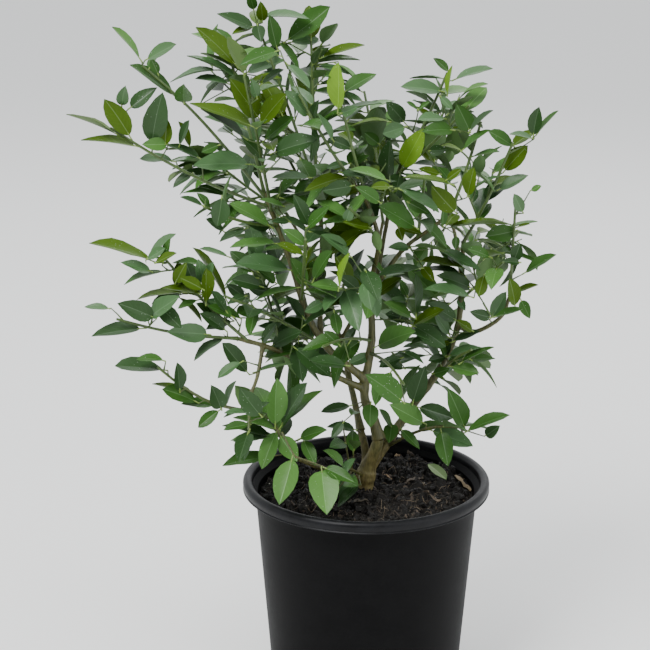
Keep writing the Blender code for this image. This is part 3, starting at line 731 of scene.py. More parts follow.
def leaf_place(leaf, s, across, height=0.0):
    """A place on the leaf: s along it, across as a share of its half width, height off it."""
    side = leaf.along.cross(leaf.face)
    half_width = leaf.length * leaf.width / 2
    lift = abs(across) * half_width * LEAF_FOLD - leaf.arch * leaf.length * s * s + height
    return (leaf.root + leaf.along * (leaf.length * s) + side * (across * half_width)
            + leaf.face * lift)


def leaf_samples(leaf):
    """The places that have to be clear: both margins, the midrib and the tip."""
    spots = [(s, 0) for s in MIDRIB_SPOTS]
    for hand in (-1, 1):
        spots += [(s, across * hand) for s, across in MARGIN_SPOTS]
    return [leaf_place(leaf, s, across) for s, across in spots]


def leaf_solid(leaf):
    """The leaf as a simple closed shape, without the root that it shares with its twig."""
    half_thickness = 0.5 * MM
    corners = [leaf_place(leaf, LEAF_FREE, 0), leaf_place(leaf, 1, 0)]
    corners += [leaf_place(leaf, LEAF_WIDEST, hand) for hand in (-1, 1)]
    corners += [leaf_place(leaf, LEAF_WIDEST, 0, hand * half_thickness) for hand in (-1, 1)]
    return corners, [(end, margin, flat) for end in (0, 1) for margin in (2, 3) for flat in (4, 5)]


def twig_solid(start, end, radius):
    """A straight run of stem or twig as a three-sided prism."""
    axis = (end - start).normalized()
    spokes = [perpendicular(axis, TAU * k / 3) * radius * MM for k in range(3)]
    corners = [place + spoke for place in (start, end) for spoke in spokes]
    return corners, [(0, 1, 4, 3), (1, 2, 5, 4), (2, 0, 3, 5)]


# %% All that has grown so far
CELL = 30
LEAF_DISTANCE = 11
VIEWER = Vector((0, -1489, 781)) * MM
SHOWN_SPOTS = (0.35, 0.6, 0.85)
CLEAR_SIGHT = 8
SHOWN_LIMBS = ("trunk", "fork_left", "fork_middle", "fork_right", "stem_middle")
SHOWN_BELOW = 330


class Crowd:
    """Leaves and twigs kept by cells of space, so a new one is tested against its neighbours."""

    def __init__(self):
        self.solids, self.middles = {}, {}

    @staticmethod
    def cells(corners):
        size = CELL * MM
        spans = []
        for i in range(3):
            values = [corner[i] for corner in corners]
            spans.append(range(int(min(values) // size), int(max(values) // size) + 1))
        return [(x, y, z) for x in spans[0] for y in spans[1] for z in spans[2]]

    def add(self, corners, tree):
        for cell in self.cells(corners):
            self.solids.setdefault(cell, []).append(tree)

    def crosses(self, corners, tree):
        near = {id(other): other for cell in self.cells(corners)
                for other in self.solids.get(cell, ())}
        return any(tree.overlap(other) for other in near.values())

    def add_middle(self, middle):
        self.middles.setdefault(self.cells([middle])[0], []).append(middle)

    def too_near(self, middle):
        """Whether another leaf's middle is so near that the two would lie on each other."""
        distance = LEAF_DISTANCE * MM
        margin = Vector((distance, distance, distance))
        return any((other - middle).length < distance
                   for cell in self.cells([middle - margin, middle + margin])
                   for other in self.middles.get(cell, ()))

    def watch(self, places):
        """Remember how these places show from the photograph's side."""
        lines = [place - VIEWER for place in places]
        self.distances = [line.length for line in lines]
        self.sights = KDTree(len(lines))
        for number, line in enumerate(lines):
            self.sights.insert(line.normalized(), number)
        self.sights.balance()

    def hides(self, place):
        """Whether a leaf here would stand before a watched one."""
        line = place - VIEWER
        near = self.sights.find_range(line.normalized(), CLEAR_SIGHT * MM / line.length)
        return any(self.distances[number] > line.length for _, number, _ in near)


# %% The growth rule's numbers
STEM_RUNS = 3
FIRST_NODE = 14
LAST_NODE = 6
GAP_RANGE = (0.85, 1.15)
GOLDEN_TURN = math.radians(137.5)
TWIG_EVERY = 2
TWIG_LENGTHS = (22, 50)
TWIG_HEADING = (0.62, 0.78, 0.12)
TWIG_ROOT = 4
TWIG_BARE = 0.35
TWIG_LAST_NODE = 5
TWIG_GAP = 0.95
TWIG_THICKNESS = 0.95
NODE_SPREAD = 1.0
SPREAD_RANGE = (-0.3, 0.3)
TRIES = 8
TRY_TURN = math.radians(50)
TIP_SPREAD = 0.25
TUFT_LEAVES = 2
TUFT_SPREAD = 0.85
TUFT_SIZE = 0.9
TUFT_START = 5
TUFT_STEP = 6
DROOPS = (-0.2, 0.38)
FLATTEN = 0.70
FACE_STEM = 0.30
FACE_SKY = 0.95
FACE_SIDE = 0.25
FACE_OUT = 0.30
FACE_RANGE = (-0.45, 0.45)
LEAF_SIZES = (0.80, 1.22)
LEAF_ARCHES = (0.04, 0.36)
CROWN_MIDDLE = Vector((-10, 10, 380)) * MM

# The fine growth that fills a spray
PLAIN_SHOOTS = ("leaves_middle_front", "leaves_right_foot", "leaves_left_rise", "leaves_right_top",
                "leaves_low_left_up", "leaves_left_low_front", "leaves_center_low", "leaves_right_shoot")
SET_SHOOTS = ("leaves_low_left_end", "leaves_hanging_out", "leaves_hanging_in", "leaves_left_reach",
              "leaves_far_right")
FILL_SEED = 500
FILL_ROUNDS = 6
FILL_TRIES = 26
FILL_BASE = 10
FILL_EACH = 0.17
FILL_PART = (0.10, 0.97)
FINE_SHARE = 0.6
FINE_LENGTHS = (14, 38)
FINE_THICKNESS = 0.7
FINE_SIZE = 0.9

# Numbers of the sprays that share a tone
TIP_SPRAY = -1
LOOSE_SPRAYS = (50, 56)
TWIG_SPRAYS = 100


# %% The growth of one shoot
class Growth:
    """The twigs and leaves of one shoot, grown by its seed inside its own space."""

    def __init__(self, name, path, spaces, crowd):
        self.name, self.spaces, self.crowd = name, spaces, crowd
        self.length = path.length
        self.leaf_length = SHOOTS[name].leaf * MM
        self.gap = SHOOTS[name].gap * MM
        self.rng = random.Random(SHOOTS[name].seed)
        self.stops = [path.at(path.length * i / STEM_RUNS)[0] for i in range(STEM_RUNS + 1)]
        self.runs = list(zip(self.stops, self.stops[1:]))
        self.twigs = []
        self.leaves = []
        self.spray = 0
        for start, end in self.runs:
            corners, faces = twig_solid(start, end, STEM_RADII[0])
            crowd.add(corners, BVHTree.FromPolygons(corners, faces))

    def grow_stem(self):
        """Leaves in a spiral up the stem, side twigs in their axils, and a tuft at the tip."""
        turn = self.rng.uniform(0, TAU)
        distance = FIRST_NODE * MM
        count = 0
        while distance < self.length - LAST_NODE * MM:
            run = min(int(distance / self.length * STEM_RUNS), STEM_RUNS - 1)
            start, end = self.runs[run]
            root = start.lerp(end, distance / self.length * STEM_RUNS - run)
            axis = (end - start).normalized()
            self.spray = count // TWIG_EVERY
            if count % TWIG_EVERY == 1 and self.name not in PLAIN_SHOOTS:
                side = perpendicular(axis, turn + math.pi / 2)
                self.grow_twig(root, axis, side, TWIG_LENGTHS, TWIG_THICKNESS)
            self.add_leaf(root, axis, turn, NODE_SPREAD)
            turn += GOLDEN_TURN
            distance += self.gap * self.rng.uniform(*GAP_RANGE)
            count += 1
        self.spray = TIP_SPRAY
        if self.name not in PLAIN_SHOOTS:
            self.add_tuft(self.stops[-1], (self.stops[-1] - self.stops[-2]).normalized())

    def grow_twig(self, root, axis, side, lengths, thickness):
        """A straight twig with alternate leaves and a tuft, or nothing where it doesn't fit."""
        length = self.rng.uniform(*lengths) * MM
        along, aside, up = TWIG_HEADING
        heading = (axis * along + side * aside + UP * up).normalized()
        end = root + heading * length
        checks = [root.lerp(end, k / 5) for k in range(1, 6)]
        corners, faces = twig_solid(root + heading * TWIG_ROOT * MM, end, thickness)
        tree = BVHTree.FromPolygons(corners, faces)
        if self.crowd.crosses(corners, tree) or not self.spaces.fits(self.name, checks):
            return
        if not self.spaces.in_reach(self.name, end):
            return
        own_spray, self.spray = self.spray, TWIG_SPRAYS + len(self.twigs)
        before = len(self.leaves)
        self.crowd.add(corners, tree)
        turn = self.rng.uniform(0, TAU)
        place = TWIG_BARE * length
        while place < length - TWIG_LAST_NODE * MM:
            self.add_leaf(root + heading * place, heading, turn, NODE_SPREAD)
            turn += GOLDEN_TURN
            place += TWIG_GAP * self.gap
        self.add_tuft(end, heading)
        self.spray = own_spray
        if len(self.leaves) > before:
            self.twigs.append(Twig(root, end, thickness))

    def add_tuft(self, end, axis):
        """The tuft at a tip: one leaf in line with it and others round it."""
        self.add_leaf(end - axis * MM, axis, self.rng.uniform(0, TAU), TIP_SPREAD)
        turn = self.rng.uniform(0, TAU)
        for i in range(TUFT_LEAVES):
            turn += TAU / TUFT_LEAVES
            root = end - axis * (TUFT_START + TUFT_STEP * i) * MM
            self.add_leaf(root, axis, turn, TUFT_SPREAD, TUFT_SIZE)

    def fill(self, fill_round):
        """Fine twigs and single leaves in the space that is left."""
        self.rng = random.Random(SHOOTS[self.name].seed + FILL_SEED * (fill_round + 1))
        wanted = (FILL_BASE + FILL_EACH * self.length / MM) * (fill_round + 1) / FILL_ROUNDS
        for _ in range(FILL_TRIES):
            if len(self.leaves) >= wanted:
                return
            start, end = self.rng.choice(self.runs + [twig[:2] for twig in self.twigs])
            root = start.lerp(end, self.rng.uniform(*FILL_PART))
            axis = (end - start).normalized()
            turn = self.rng.uniform(0, TAU)
            self.spray = self.rng.randint(*LOOSE_SPRAYS)
            if self.rng.random() < FINE_SHARE:
                self.grow_twig(root, axis, perpendicular(axis, turn), FINE_LENGTHS, FINE_THICKNESS)
            else:
                self.add_leaf(root, axis, turn, NODE_SPREAD, FINE_SIZE)

    def add_leaf(self, root, axis, turn, spread, size=1.0):
        """The first leaf near this turn that stays in its space and crosses nothing."""
        for attempt in range(TRIES):
            side = perpendicular(axis, turn + attempt * TRY_TURN)
            leaf = self.new_leaf(root, axis, side, spread, size)
            samples = leaf_samples(leaf)
            if self.crowd.too_near(samples[1]) or not self.spaces.fits(self.name, samples):
                continue
            if not all(self.spaces.in_reach(self.name, place) for place in samples[1:4]):
                continue
            if any(self.crowd.hides(place) for place in samples[:3]):
                continue
            corners, faces = leaf_solid(leaf)
            tree = BVHTree.FromPolygons(corners, faces)
            if not self.crowd.crosses(corners, tree):
                self.leaves.append(leaf)
                self.crowd.add(corners, tree)
                self.crowd.add_middle(samples[1])
                return

    def new_leaf(self, root, axis, side, spread, size):
        """A leaf that leaves the axis at an angle and turns its face up and out of the crown."""
        rng = self.rng
        angle = spread + rng.uniform(*SPREAD_RANGE)
        along = axis * math.cos(angle) + side * math.sin(angle)
        along.z = along.z * FLATTEN - rng.uniform(*DROOPS)
        along.normalize()
        jitter = Vector([rng.uniform(*FACE_RANGE) for _ in range(3)])
        outward = (root - CROWN_MIDDLE).normalized()
        face = axis * FACE_STEM + UP * FACE_SKY + side * FACE_SIDE + outward * FACE_OUT + jitter
        face -= along * face.dot(along)
        face.normalize()
        length = self.leaf_length * size * rng.uniform(*LEAF_SIZES)
        return Leaf(root, along, face, length, rng.uniform(*LEAF_ARCHES), self.spray)


# %% [markdown]
# Leaves that show singly against the sky or the pot are set one by one before the rule fills the
# rest, since a rule can't be asked to put a leaf's tip on one place. Each is a root, a tip, a
# turn about its own length (0 has its face up), and an arch and a width in hundredths of its
# length. The rows stand by tone. A fine twig carries each leaf from the nearest wood. More could
# be set this way, but a table says less than a rule does.

# %% Leaves with a place of their own
SET_TWIGS = {
    "leaves_rosette": [((-72, -60, 262), (-60, -78, 247), 1.0), ((-60, -78, 247), (-36, -70, 235), 0.8)],
}
SET_LEAVES = {
    "fresh": [
        (-185, -38, 574, -208, -42, 603, -13, 14, 46), (-165, -36, 506, -185, -51, 507, -63, 6, 46),
        (-116, 2, 578, -148, 11, 592, -10, 5, 46), (138, 2, 460, 147, -2, 465, 88, 4, 60),
        (72, 5, 302, 97, -8, 298, 33, 8, 46), (53, -6, 251, 20, -17, 273, -50, 4, 46),
        (6, -11, 323, 41, -28, 347, 56, 6, 46), (41, -9, 349, 14, -18, 364, -32, 8, 46),
        (-78, -52, 263, -79, -58, 309, -129, 4, 46), (-75, -46, 259, -113, -61, 275, -18, 8, 46),
        (-76, -46, 261, -90, -63, 230, -16, 6, 46), (-75, -45, 255, -59, -66, 238, 36, 8, 60),
        (-55, -39, 385, -95, -50, 376, -6, 12, 46), (-62, -77, 248, -69, -109, 216, 5, 10, 56),
        (-38, -71, 236, -34, -101, 204, 0, 8, 58), (-141, -56, 378, -158, -60, 371, -21, 10, 46),
        (-79, -33, 434, -115, -44, 459, -28, 8, 46), (-69, -30, 452, -91, -36, 459, -26, 12, 46),
        (-74, -33, 421, -115, -42, 419, -10, 14, 46), (-50, -33, 383, -66, -48, 411, -97, 6, 46),
        (-21, -59, 389, -46, -70, 395, -34, 16, 46), (-50, -57, 425, -69, -68, 443, -70, 8, 46),
        (11, -40, 415, 4, -44, 435, 63, 6, 46), (18, -49, 478, -16, -58, 491, -23, 14, 46),
        (16, -10, 386, -1, -14, 406, -27, 6, 46),
    ],
    # Leaves of the tone whose bluish grey-green colour is a painted sheen on glossy tops.
    "dewy": [
        (-183, -37, 575, -156, -46, 590, 48, 6, 46), (-202, -44, 538, -198, -59, 558, 168, 5, 47),
        (-160, -31, 490, -190, -27, 493, -18, 10, 46), (-95, -26, 487, -145, -41, 490, -32, 10, 46),
        (-125, 1, 562, -166, -6, 552, -10, 30, 46), (-107, -6, 554, -152, 1, 574, 1, 16, 46),
        (-94, 36, 601, -50, 40, 599, 10, 26, 46), (-70, 55, 578, -43, 64, 579, 41, 8, 46),
        (-108, 48, 552, -72, 37, 565, 37, 12, 46), (-47, -56, 532, -68, -69, 555, -67, 6, 46),
        (-67, -63, 578, -47, -76, 559, 11, 10, 46), (-23, -59, 536, -8, -68, 542, 90, 8, 50),
        (-25, -51, 533, 11, -51, 543, -1, 22, 46), (71, 32, 549, 105, 28, 561, 20, 14, 46),
        (65, 28, 540, 27, 19, 547, -40, 10, 46), (67, 36, 550, 35, 38, 550, -1, 10, 46),
        (33, 13, 513, 12, 5, 508, -74, 8, 60), (110, 7, 459, 136, 0, 472, 38, 10, 46),
        (140, 1, 505, 118, -10, 511, -25, 6, 46), (107, 9, 343, 122, -2, 370, 97, 5, 46),
        (70, 5, 310, 99, -4, 323, 25, 14, 46), (75, 9, 326, 38, -4, 337, -36, 8, 46),
        (73, 9, 328, 58, 0, 351, -77, 6, 46), (31, 4, 316, 50, 0, 306, 9, 6, 46),
        (91, -23, 372, 47, -38, 385, -18, 12, 46), (-21, -39, 214, -10, -48, 236, 68, 8, 46),
        (-75, -42, 253, -114, -57, 253, -4, 6, 46), (-179, -54, 401, -204, -65, 412, -42, 6, 46),
        (-184, -56, 413, -159, -52, 433, 9, 10, 46), (-138, -51, 392, -153, -55, 410, -57, 6, 46),
        (-183, -66, 365, -154, -77, 386, 55, 8, 46), (-212, -74, 375, -234, -76, 376, -22, 8, 46),
        (-132, -51, 346, -167, -69, 355, -78, 8, 48), (-92, -30, 390, -115, -37, 391, -20, 10, 46),
        (-62, -43, 400, -109, -58, 412, -24, 10, 46), (-116, -30, 408, -142, -30, 415, -4, 8, 46),
        (-104, -57, 325, -126, -68, 314, -19, 10, 46), (-97, -50, 312, -63, -54, 321, -1, 14, 46),
        (-96, -77, 286, -119, -82, 287, -7, 6, 46), (-136, -50, 391, -128, -57, 411, 88, 6, 46),
        (-118, -47, 369, -135, -54, 377, -49, 6, 46), (-136, -54, 390, -141, -61, 414, -110, 6, 46),
        (-184, -60, 413, -167, -64, 424, 55, 6, 46), (133, 3, 440, 123, -4, 458, -116, 8, 51),
        (5, 1, 315, -16, -8, 305, -62, 8, 46), (-115, -2, 550, -145, -6, 555, -18, 24, 46),
        (-90, -55, 547, -95, -62, 564, -109, 6, 46), (-28, -55, 512, -42, -64, 536, -56, 6, 46),
        (-46, -40, 479, -79, -46, 479, -15, 10, 46), (-35, -39, 373, -53, -50, 367, -65, 6, 51),
        (-13, -59, 416, -38, -68, 439, -35, 8, 46), (-18, -76, 450, -13, -82, 465, 132, 6, 60),
        (-14, -39, 491, -35, -45, 489, -29, 10, 46), (-24, -54, 487, -4, -60, 483, 32, 8, 46),
        (67, 2, 521, 41, -5, 523, -26, 10, 46), (59, -3, 542, 70, -7, 531, 56, 6, 46),
        (24, -59, 475, 57, -70, 456, 9, 8, 46), (37, -19, 414, 17, -28, 418, -43, 6, 46),
        (48, -19, 397, 9, -28, 392, -3, 10, 46), (59, -15, 413, 95, -26, 396, 11, 8, 46),
        (35, -8, 364, 20, -12, 368, -34, 8, 46), (80, 23, 360, 85, 16, 349, 38, 6, 55),
    ],
    "deep": [
        (-172, -36, 563, -177, -40, 577, -116, 8, 56), (-158, -28, 543, -195, -38, 572, -34, 8, 46),
        (-152, -33, 539, -150, -57, 559, -178, 4, 50), (-87, -42, 509, -61, -52, 533, 57, 6, 46),
        (-71, -61, 587, -102, -74, 576, -30, 22, 46), (-98, 37, 607, -100, 26, 624, -163, 6, 47),
        (-78, 35, 574, -86, 28, 604, -105, 8, 46), (-74, 52, 578, -32, 46, 607, 56, 6, 46),
        (-80, 53, 581, -59, 40, 552, -2, 24, 46), (-24, -55, 569, -36, -64, 567, -71, 10, 46),
        (69, 32, 556, 55, 26, 570, -60, 6, 46), (86, 0, 510, 74, -11, 537, -129, 5, 53),
        (73, 0, 512, 44, -15, 515, -40, 12, 46), (76, -42, 502, 99, -49, 522, 29, 12, 46),
        (124, 5, 497, 101, -4, 513, -68, 8, 46), (141, 0, 508, 159, -2, 529, 9, 8, 46),
        (129, 9, 424, 101, -2, 419, -72, 8, 53), (134, 7, 385, 162, 0, 404, 31, 10, 46),
        (133, 8, 363, 142, 2, 347, 57, 8, 59), (80, -6, 307, 110, -10, 324, 8, 14, 46),
        (70, 10, 308, 62, 6, 324, -70, 6, 46), (58, 15, 291, 73, 6, 298, 81, 6, 52),
        (29, 2, 269, 46, -2, 306, 32, 5, 46), (107, -24, 355, 132, -30, 364, 14, 6, 46),
        (87, -17, 249, 71, -26, 293, -80, 5, 46), (85, -22, 249, 124, -28, 268, 16, 20, 46),
        (65, -11, 250, 72, -29, 221, 22, 8, 53), (30, -2, 246, 46, -18, 232, 13, 8, 46),
        (23, 4, 244, 11, -5, 264, -60, 6, 46), (22, 8, 248, 22, -10, 235, 1, 8, 60),
        (32, -83, 297, 0, -94, 328, -58, 5, 46), (4, -15, 275, 2, -34, 258, -5, 8, 60),
        (-82, -43, 234, -124, -52, 229, -10, 8, 46), (-59, -44, 250, -34, -50, 263, 46, 8, 46),
        (-55, -40, 250, -45, -55, 230, 7, 8, 46), (-168, -49, 401, -203, -62, 393, -4, 16, 46),
        (-138, -49, 407, -163, -45, 408, -16, 12, 46), (-170, -59, 410, -162, -63, 432, 67, 6, 46),
        (-91, -30, 320, -57, -41, 330, 26, 10, 46), (-167, -82, 332, -191, -86, 335, -17, 34, 46),
        (-141, -72, 292, -170, -85, 311, -40, 8, 46), (-37, -70, 235, -10, -84, 226, 28, 12, 46),
        (-127, -64, 287, -156, -73, 292, -16, 8, 46), (-123, -67, 285, -143, -75, 273, -51, 6, 46),
        (-106, -58, 282, -121, -63, 276, -18, 6, 46), (-96, -87, 279, -119, -93, 277, -30, 6, 46),
        (-76, -44, 389, -91, -51, 404, -64, 6, 46), (-126, -43, 354, -143, -51, 375, -51, 6, 46),
        (-106, -45, 358, -122, -51, 370, -45, 6, 46), (-111, -54, 362, -133, -60, 375, -43, 6, 46),
        (-22, -56, 338, -36, -64, 354, -69, 6, 46), (-28, -55, 370, -24, -61, 350, 28, 6, 54),
        (-122, 3, 555, -142, 1, 533, -7, 16, 46), (-122, -43, 507, -137, -51, 503, -73, 6, 56),
        (-87, -29, 492, -103, -37, 513, -63, 6, 46), (-127, -83, 461, -137, -90, 477, -64, 6, 46),
        (-46, -59, 394, -30, -68, 426, 61, 6, 46), (-51, -61, 441, -31, -70, 460, 56, 6, 46),
        (11, -69, 464, -10, -78, 480, -57, 6, 46), (42, -49, 438, 9, -62, 461, -55, 6, 46),
        (-16, -30, 486, 1, -34, 496, 37, 8, 46), (42, 5, 528, 32, 3, 536, -32, 4, 46),
        (41, 5, 528, 51, 3, 536, 52, 4, 46), (10, 24, 495, -4, 18, 506, -97, 6, 55),
        (52, 19, 493, 72, 16, 512, 13, 8, 46), (32, -47, 461, 51, -56, 453, 70, 6, 48),
        (63, -31, 435, 62, -36, 455, -128, 6, 46), (35, -8, 368, 28, -12, 383, -95, 6, 46),
        (105, -31, 409, 83, -40, 421, -48, 8, 46), (75, -19, 426, 74, -27, 415, 2, 6, 60),
    ],
    "dark": [
        (-197, -44, 536, -173, -38, 553, 59, 10, 46), (-179, -38, 504, -172, -47, 551, 147, 5, 47),
        (-96, 36, 592, -129, 28, 604, -52, 22, 46), (-95, 33, 597, -92, 18, 583, 8, 6, 60),
        (-80, -58, 502, -41, -73, 519, 62, 10, 46), (32, 30, 512, 16, 22, 533, -106, 6, 58),
        (17, 28, 460, 18, 17, 502, 138, 6, 46), (82, -40, 517, 101, -45, 538, 23, 10, 46),
        (139, 1, 506, 140, -8, 534, 155, 5, 46), (125, 2, 396, 131, -4, 415, 128, 6, 51),
        (71, 11, 309, 54, 2, 307, -46, 6, 46), (70, 12, 308, 75, 8, 327, 78, 6, 46),
        (79, 1, 344, 52, -10, 364, -66, 6, 46), (74, 4, 324, 98, 0, 335, 16, 6, 46),
        (34, 1, 300, 10, -8, 310, -45, 10, 46), (108, -7, 350, 88, -16, 356, -67, 6, 46),
        (42, -14, 350, 40, -20, 391, -91, 6, 46), (40, -9, 270, 50, -18, 310, 109, 5, 46),
        (43, -6, 268, 76, -17, 261, 53, 10, 46), (103, -21, 246, 116, -32, 259, 92, 14, 53),
        (39, 7, 342, 16, -3, 353, -62, 6, 46), (-12, -7, 269, -39, -16, 264, -20, 8, 46),
        (-8, -5, 245, -35, -14, 252, -26, 10, 46), (-75, -47, 260, -51, -52, 305, 39, 4, 46),
        (-80, -46, 253, -123, -55, 265, -13, 8, 46), (-86, -98, 289, -106, -100, 314, -79, 5, 59),
        (-115, -38, 361, -137, -45, 373, -38, 6, 46), (-121, -48, 376, -131, -54, 384, -92, 4, 54),
        (-175, -69, 365, -205, -80, 383, -77, 6, 46), (-185, -67, 356, -229, -76, 353, -24, 8, 46),
        (-119, -47, 343, -146, -60, 326, -8, 18, 46), (-104, -31, 373, -118, -40, 388, -96, 6, 52),
        (-81, -35, 379, -101, -44, 385, -80, 6, 57), (-100, -43, 308, -123, -52, 338, -66, 6, 46),
        (-91, -33, 332, -76, -40, 354, 63, 8, 46), (-83, -33, 330, -56, -44, 350, 68, 5, 46),
        (-166, -76, 322, -209, -85, 328, -14, 10, 46), (-156, -80, 304, -157, -89, 333, -137, 6, 46),
        (-122, -70, 285, -129, -79, 311, -126, 6, 53), (-98, -93, 275, -103, -137, 264, -1, 12, 36),
        (-119, -65, 288, -110, -72, 313, 65, 6, 46), (-97, -92, 277, -101, -98, 250, 8, 6, 46),
        (-99, -79, 283, -81, -86, 298, 38, 6, 46), (-176, -65, 378, -154, -74, 359, 59, 6, 52),
        (-143, -55, 389, -151, -63, 411, -123, 6, 51), (-117, -55, 366, -129, -63, 388, -71, 6, 46),
        (-87, -45, 386, -113, -54, 397, -56, 6, 46), (-118, -49, 348, -139, -58, 369, -63, 6, 46),
        (-172, -47, 405, -164, -51, 427, 57, 6, 46), (-113, -37, 354, -137, -46, 351, -38, 6, 46),
        (-156, -40, 380, -182, -46, 372, -31, 6, 46), (-101, -46, 379, -118, -54, 375, -38, 8, 46),
        (-138, -31, 492, -167, -39, 507, -25, 8, 46), (-146, -27, 480, -163, -33, 469, -35, 10, 46),
        (-157, -35, 503, -147, -39, 526, 55, 6, 46), (132, -2, 398, 115, -8, 400, -51, 8, 46),
        (-14, -60, 322, -48, -70, 329, -38, 8, 46), (-8, -24, 348, -19, -30, 331, -20, 6, 46),
        (32, -3, 312, 10, -12, 307, -40, 6, 46), (38, 1, 341, 70, -10, 327, 56, 6, 46),
        (-19, -32, 263, -31, -39, 250, -57, 10, 47), (-99, -43, 511, -137, -49, 537, -13, 6, 46),
        (-46, -55, 527, -41, -60, 548, 77, 6, 46), (-88, -50, 557, -69, -54, 572, 37, 6, 46),
        (-118, -81, 473, -120, -90, 449, -19, 6, 60), (-102, -9, 429, -126, -18, 419, -26, 6, 46),
        (-122, -10, 425, -137, -16, 439, -46, 6, 46), (-131, -92, 466, -150, -96, 475, -25, 8, 46),
        (-81, -23, 434, -101, -32, 437, -79, 6, 48), (-47, -59, 441, -62, -68, 470, -77, 6, 46),
        (-64, -40, 441, -80, -46, 444, -47, 8, 46), (-53, -30, 354, -70, -36, 376, -58, 6, 46),
        (-5, -39, 380, -23, -48, 399, -66, 6, 46), (-11, -69, 479, -37, -80, 476, -75, 6, 48),
        (-12, -45, 504, -33, -53, 515, -68, 6, 46), (51, 13, 492, 67, 5, 494, 82, 6, 60),
        (22, -49, 472, 48, -58, 478, 32, 8, 46), (91, -9, 376, 59, -20, 393, -51, 6, 46),
    ],
    "olive": [
        (-195, -42, 511, -213, -50, 547, -91, 6, 46), (-204, -40, 513, -249, -40, 531, 5, 12, 46),
        (-188, -40, 504, -236, -47, 512, -12, 10, 46), (-88, -40, 526, -113, -51, 563, -74, 6, 46),
        (-89, -47, 523, -68, -56, 554, 74, 5, 46), (-91, -46, 521, -145, -56, 541, -22, 14, 46),
        (-109, -3, 564, -142, -12, 601, -42, 10, 46), (-91, 37, 597, -90, 28, 616, 172, 6, 56),
        (-98, 37, 594, -116, 26, 589, -32, 6, 46), (115, 9, 474, 134, 0, 500, 73, 5, 46),
        (81, -58, 467, 86, -68, 494, 111, 5, 46), (74, -44, 450, 51, -59, 476, -107, 6, 48),
        (129, 9, 354, 124, -2, 385, -123, 5, 46), (128, 16, 366, 148, 8, 375, 18, 8, 46),
        (66, 0, 427, 123, -8, 432, 1, 18, 46), (93, 0, 335, 77, -6, 346, -57, 6, 46),
        (75, 8, 323, 58, 2, 320, -21, 6, 46), (37, -10, 341, 66, -16, 361, 18, 8, 46),
        (-177, -52, 409, -231, -58, 426, -6, 16, 46), (-151, -51, 383, -193, -58, 380, -8, 12, 46),
        (-118, -35, 369, -146, -44, 420, -21, 10, 46), (-135, -57, 373, -134, -63, 407, -134, 5, 46),
        (-139, -42, 380, -160, -50, 394, -84, 6, 50), (-137, -58, 383, -172, -66, 391, -14, 8, 46),
        (-160, -47, 379, -138, -54, 359, 0, 8, 46), (-150, -67, 299, -180, -73, 309, -13, 8, 46),
        (-156, -39, 380, -158, -49, 409, -158, 6, 53), (-135, -66, 389, -154, -72, 402, -58, 6, 46),
        (-176, -67, 412, -157, -71, 422, 35, 6, 46), (-160, -62, 393, -150, -68, 414, 106, 6, 46),
        (-168, -37, 504, -166, -41, 528, 146, 6, 46), (-148, -26, 500, -157, -30, 524, -43, 6, 46),
        (128, 3, 428, 139, 3, 431, 14, 4, 46), (122, 13, 415, 96, 8, 431, -24, 10, 46),
        (38, 12, 350, 18, 5, 344, -26, 6, 46), (-50, -74, 420, -74, -80, 433, -22, 10, 46),
        (4, -71, 444, -20, -80, 450, -32, 8, 46), (20, -59, 476, 2, -68, 478, -37, 10, 46),
        (25, -39, 438, 30, -48, 428, 36, 6, 60), (26, -36, 437, 45, -42, 431, 36, 6, 46),
        (20, 16, 516, -16, 12, 512, -3, 26, 46), (63, 15, 471, 43, 9, 476, -48, 8, 46),
        (70, -70, 480, 28, -76, 487, -8, 10, 46), (63, -68, 483, 75, -72, 494, 64, 6, 46),
        (42, -15, 402, 81, -24, 398, 7, 14, 46), (46, -9, 397, 57, -20, 385, 50, 6, 57),
        (100, -12, 390, 94, -25, 374, -22, 6, 60),
    ],
    "young": [
        (-25, -59, 536, -22, -70, 578, 120, 4, 46), (67, 28, 536, 70, 21, 564, 84, 4, 46),
        (28, 24, 472, 47, 14, 511, 99, 6, 46), (-24, -70, 390, -15, -74, 425, 44, 8, 46),
    ],
}
SET_TWIG = 0.7
SLIDE_BACK = 0.6
LIMB_RUNS = [run for grown in LIMB_PATHS.values() for run in zip(grown.path.points, grown.path.points[1:])]


def nearest_wood(runs, root):
    """Where a twig to this root leaves the nearest of these runs, and how far it has to go."""
    best = None
    for start, end in runs:
        share = min(max(intersect_point_line(root, start, end)[1], 0.0), 1.0)
        distance = (start.lerp(end, share) - root).length
        if best is None or distance < best[1]:
            share = max(0.0, share - SLIDE_BACK * distance / (end - start).length)
            best = (start.lerp(end, share), distance)
    return best


def set_twig(growth, start, end, thickness):
    growth.twigs.append(Twig(start, end, thickness))
    corners, faces = twig_solid(start, end, thickness)
    growth.crowd.add(corners, BVHTree.FromPolygons(corners, faces))


def set_leaf(crown, tone, root, tip, turn, arch, width):
    """A leaf from root to tip, on a twig of its own where no wood is near."""
    growth = min(crown.values(), key=lambda shoot: nearest_wood(shoot.runs, root)[1])
    wood = [twig[:2] for shoot in crown.values() for twig in shoot.twigs]
    wood += [run for shoot in crown.values() for run in shoot.runs]
    start, distance = nearest_wood(wood + LIMB_RUNS, root)
    if distance > SET_TWIG * MM:
        set_twig(growth, start, root, SET_TWIG)
    line = (tip - root).normalized()
    face = Matrix.Rotation(math.radians(turn), 3, line) @ (UP - line * line.z).normalized()
    bend = math.atan(arch)
    along = line * math.cos(bend) + face * math.sin(bend)
    face = face * math.cos(bend) - line * math.sin(bend)
    leaf = Leaf(root, along, face, (tip - root).length * math.cos(bend), arch, tone, width)
    corners, faces = leaf_solid(leaf)
    growth.leaves.append(leaf)
    growth.crowd.add(corners, BVHTree.FromPolygons(corners, faces))
    growth.crowd.add_middle(leaf_place(leaf, 0.5, 0))


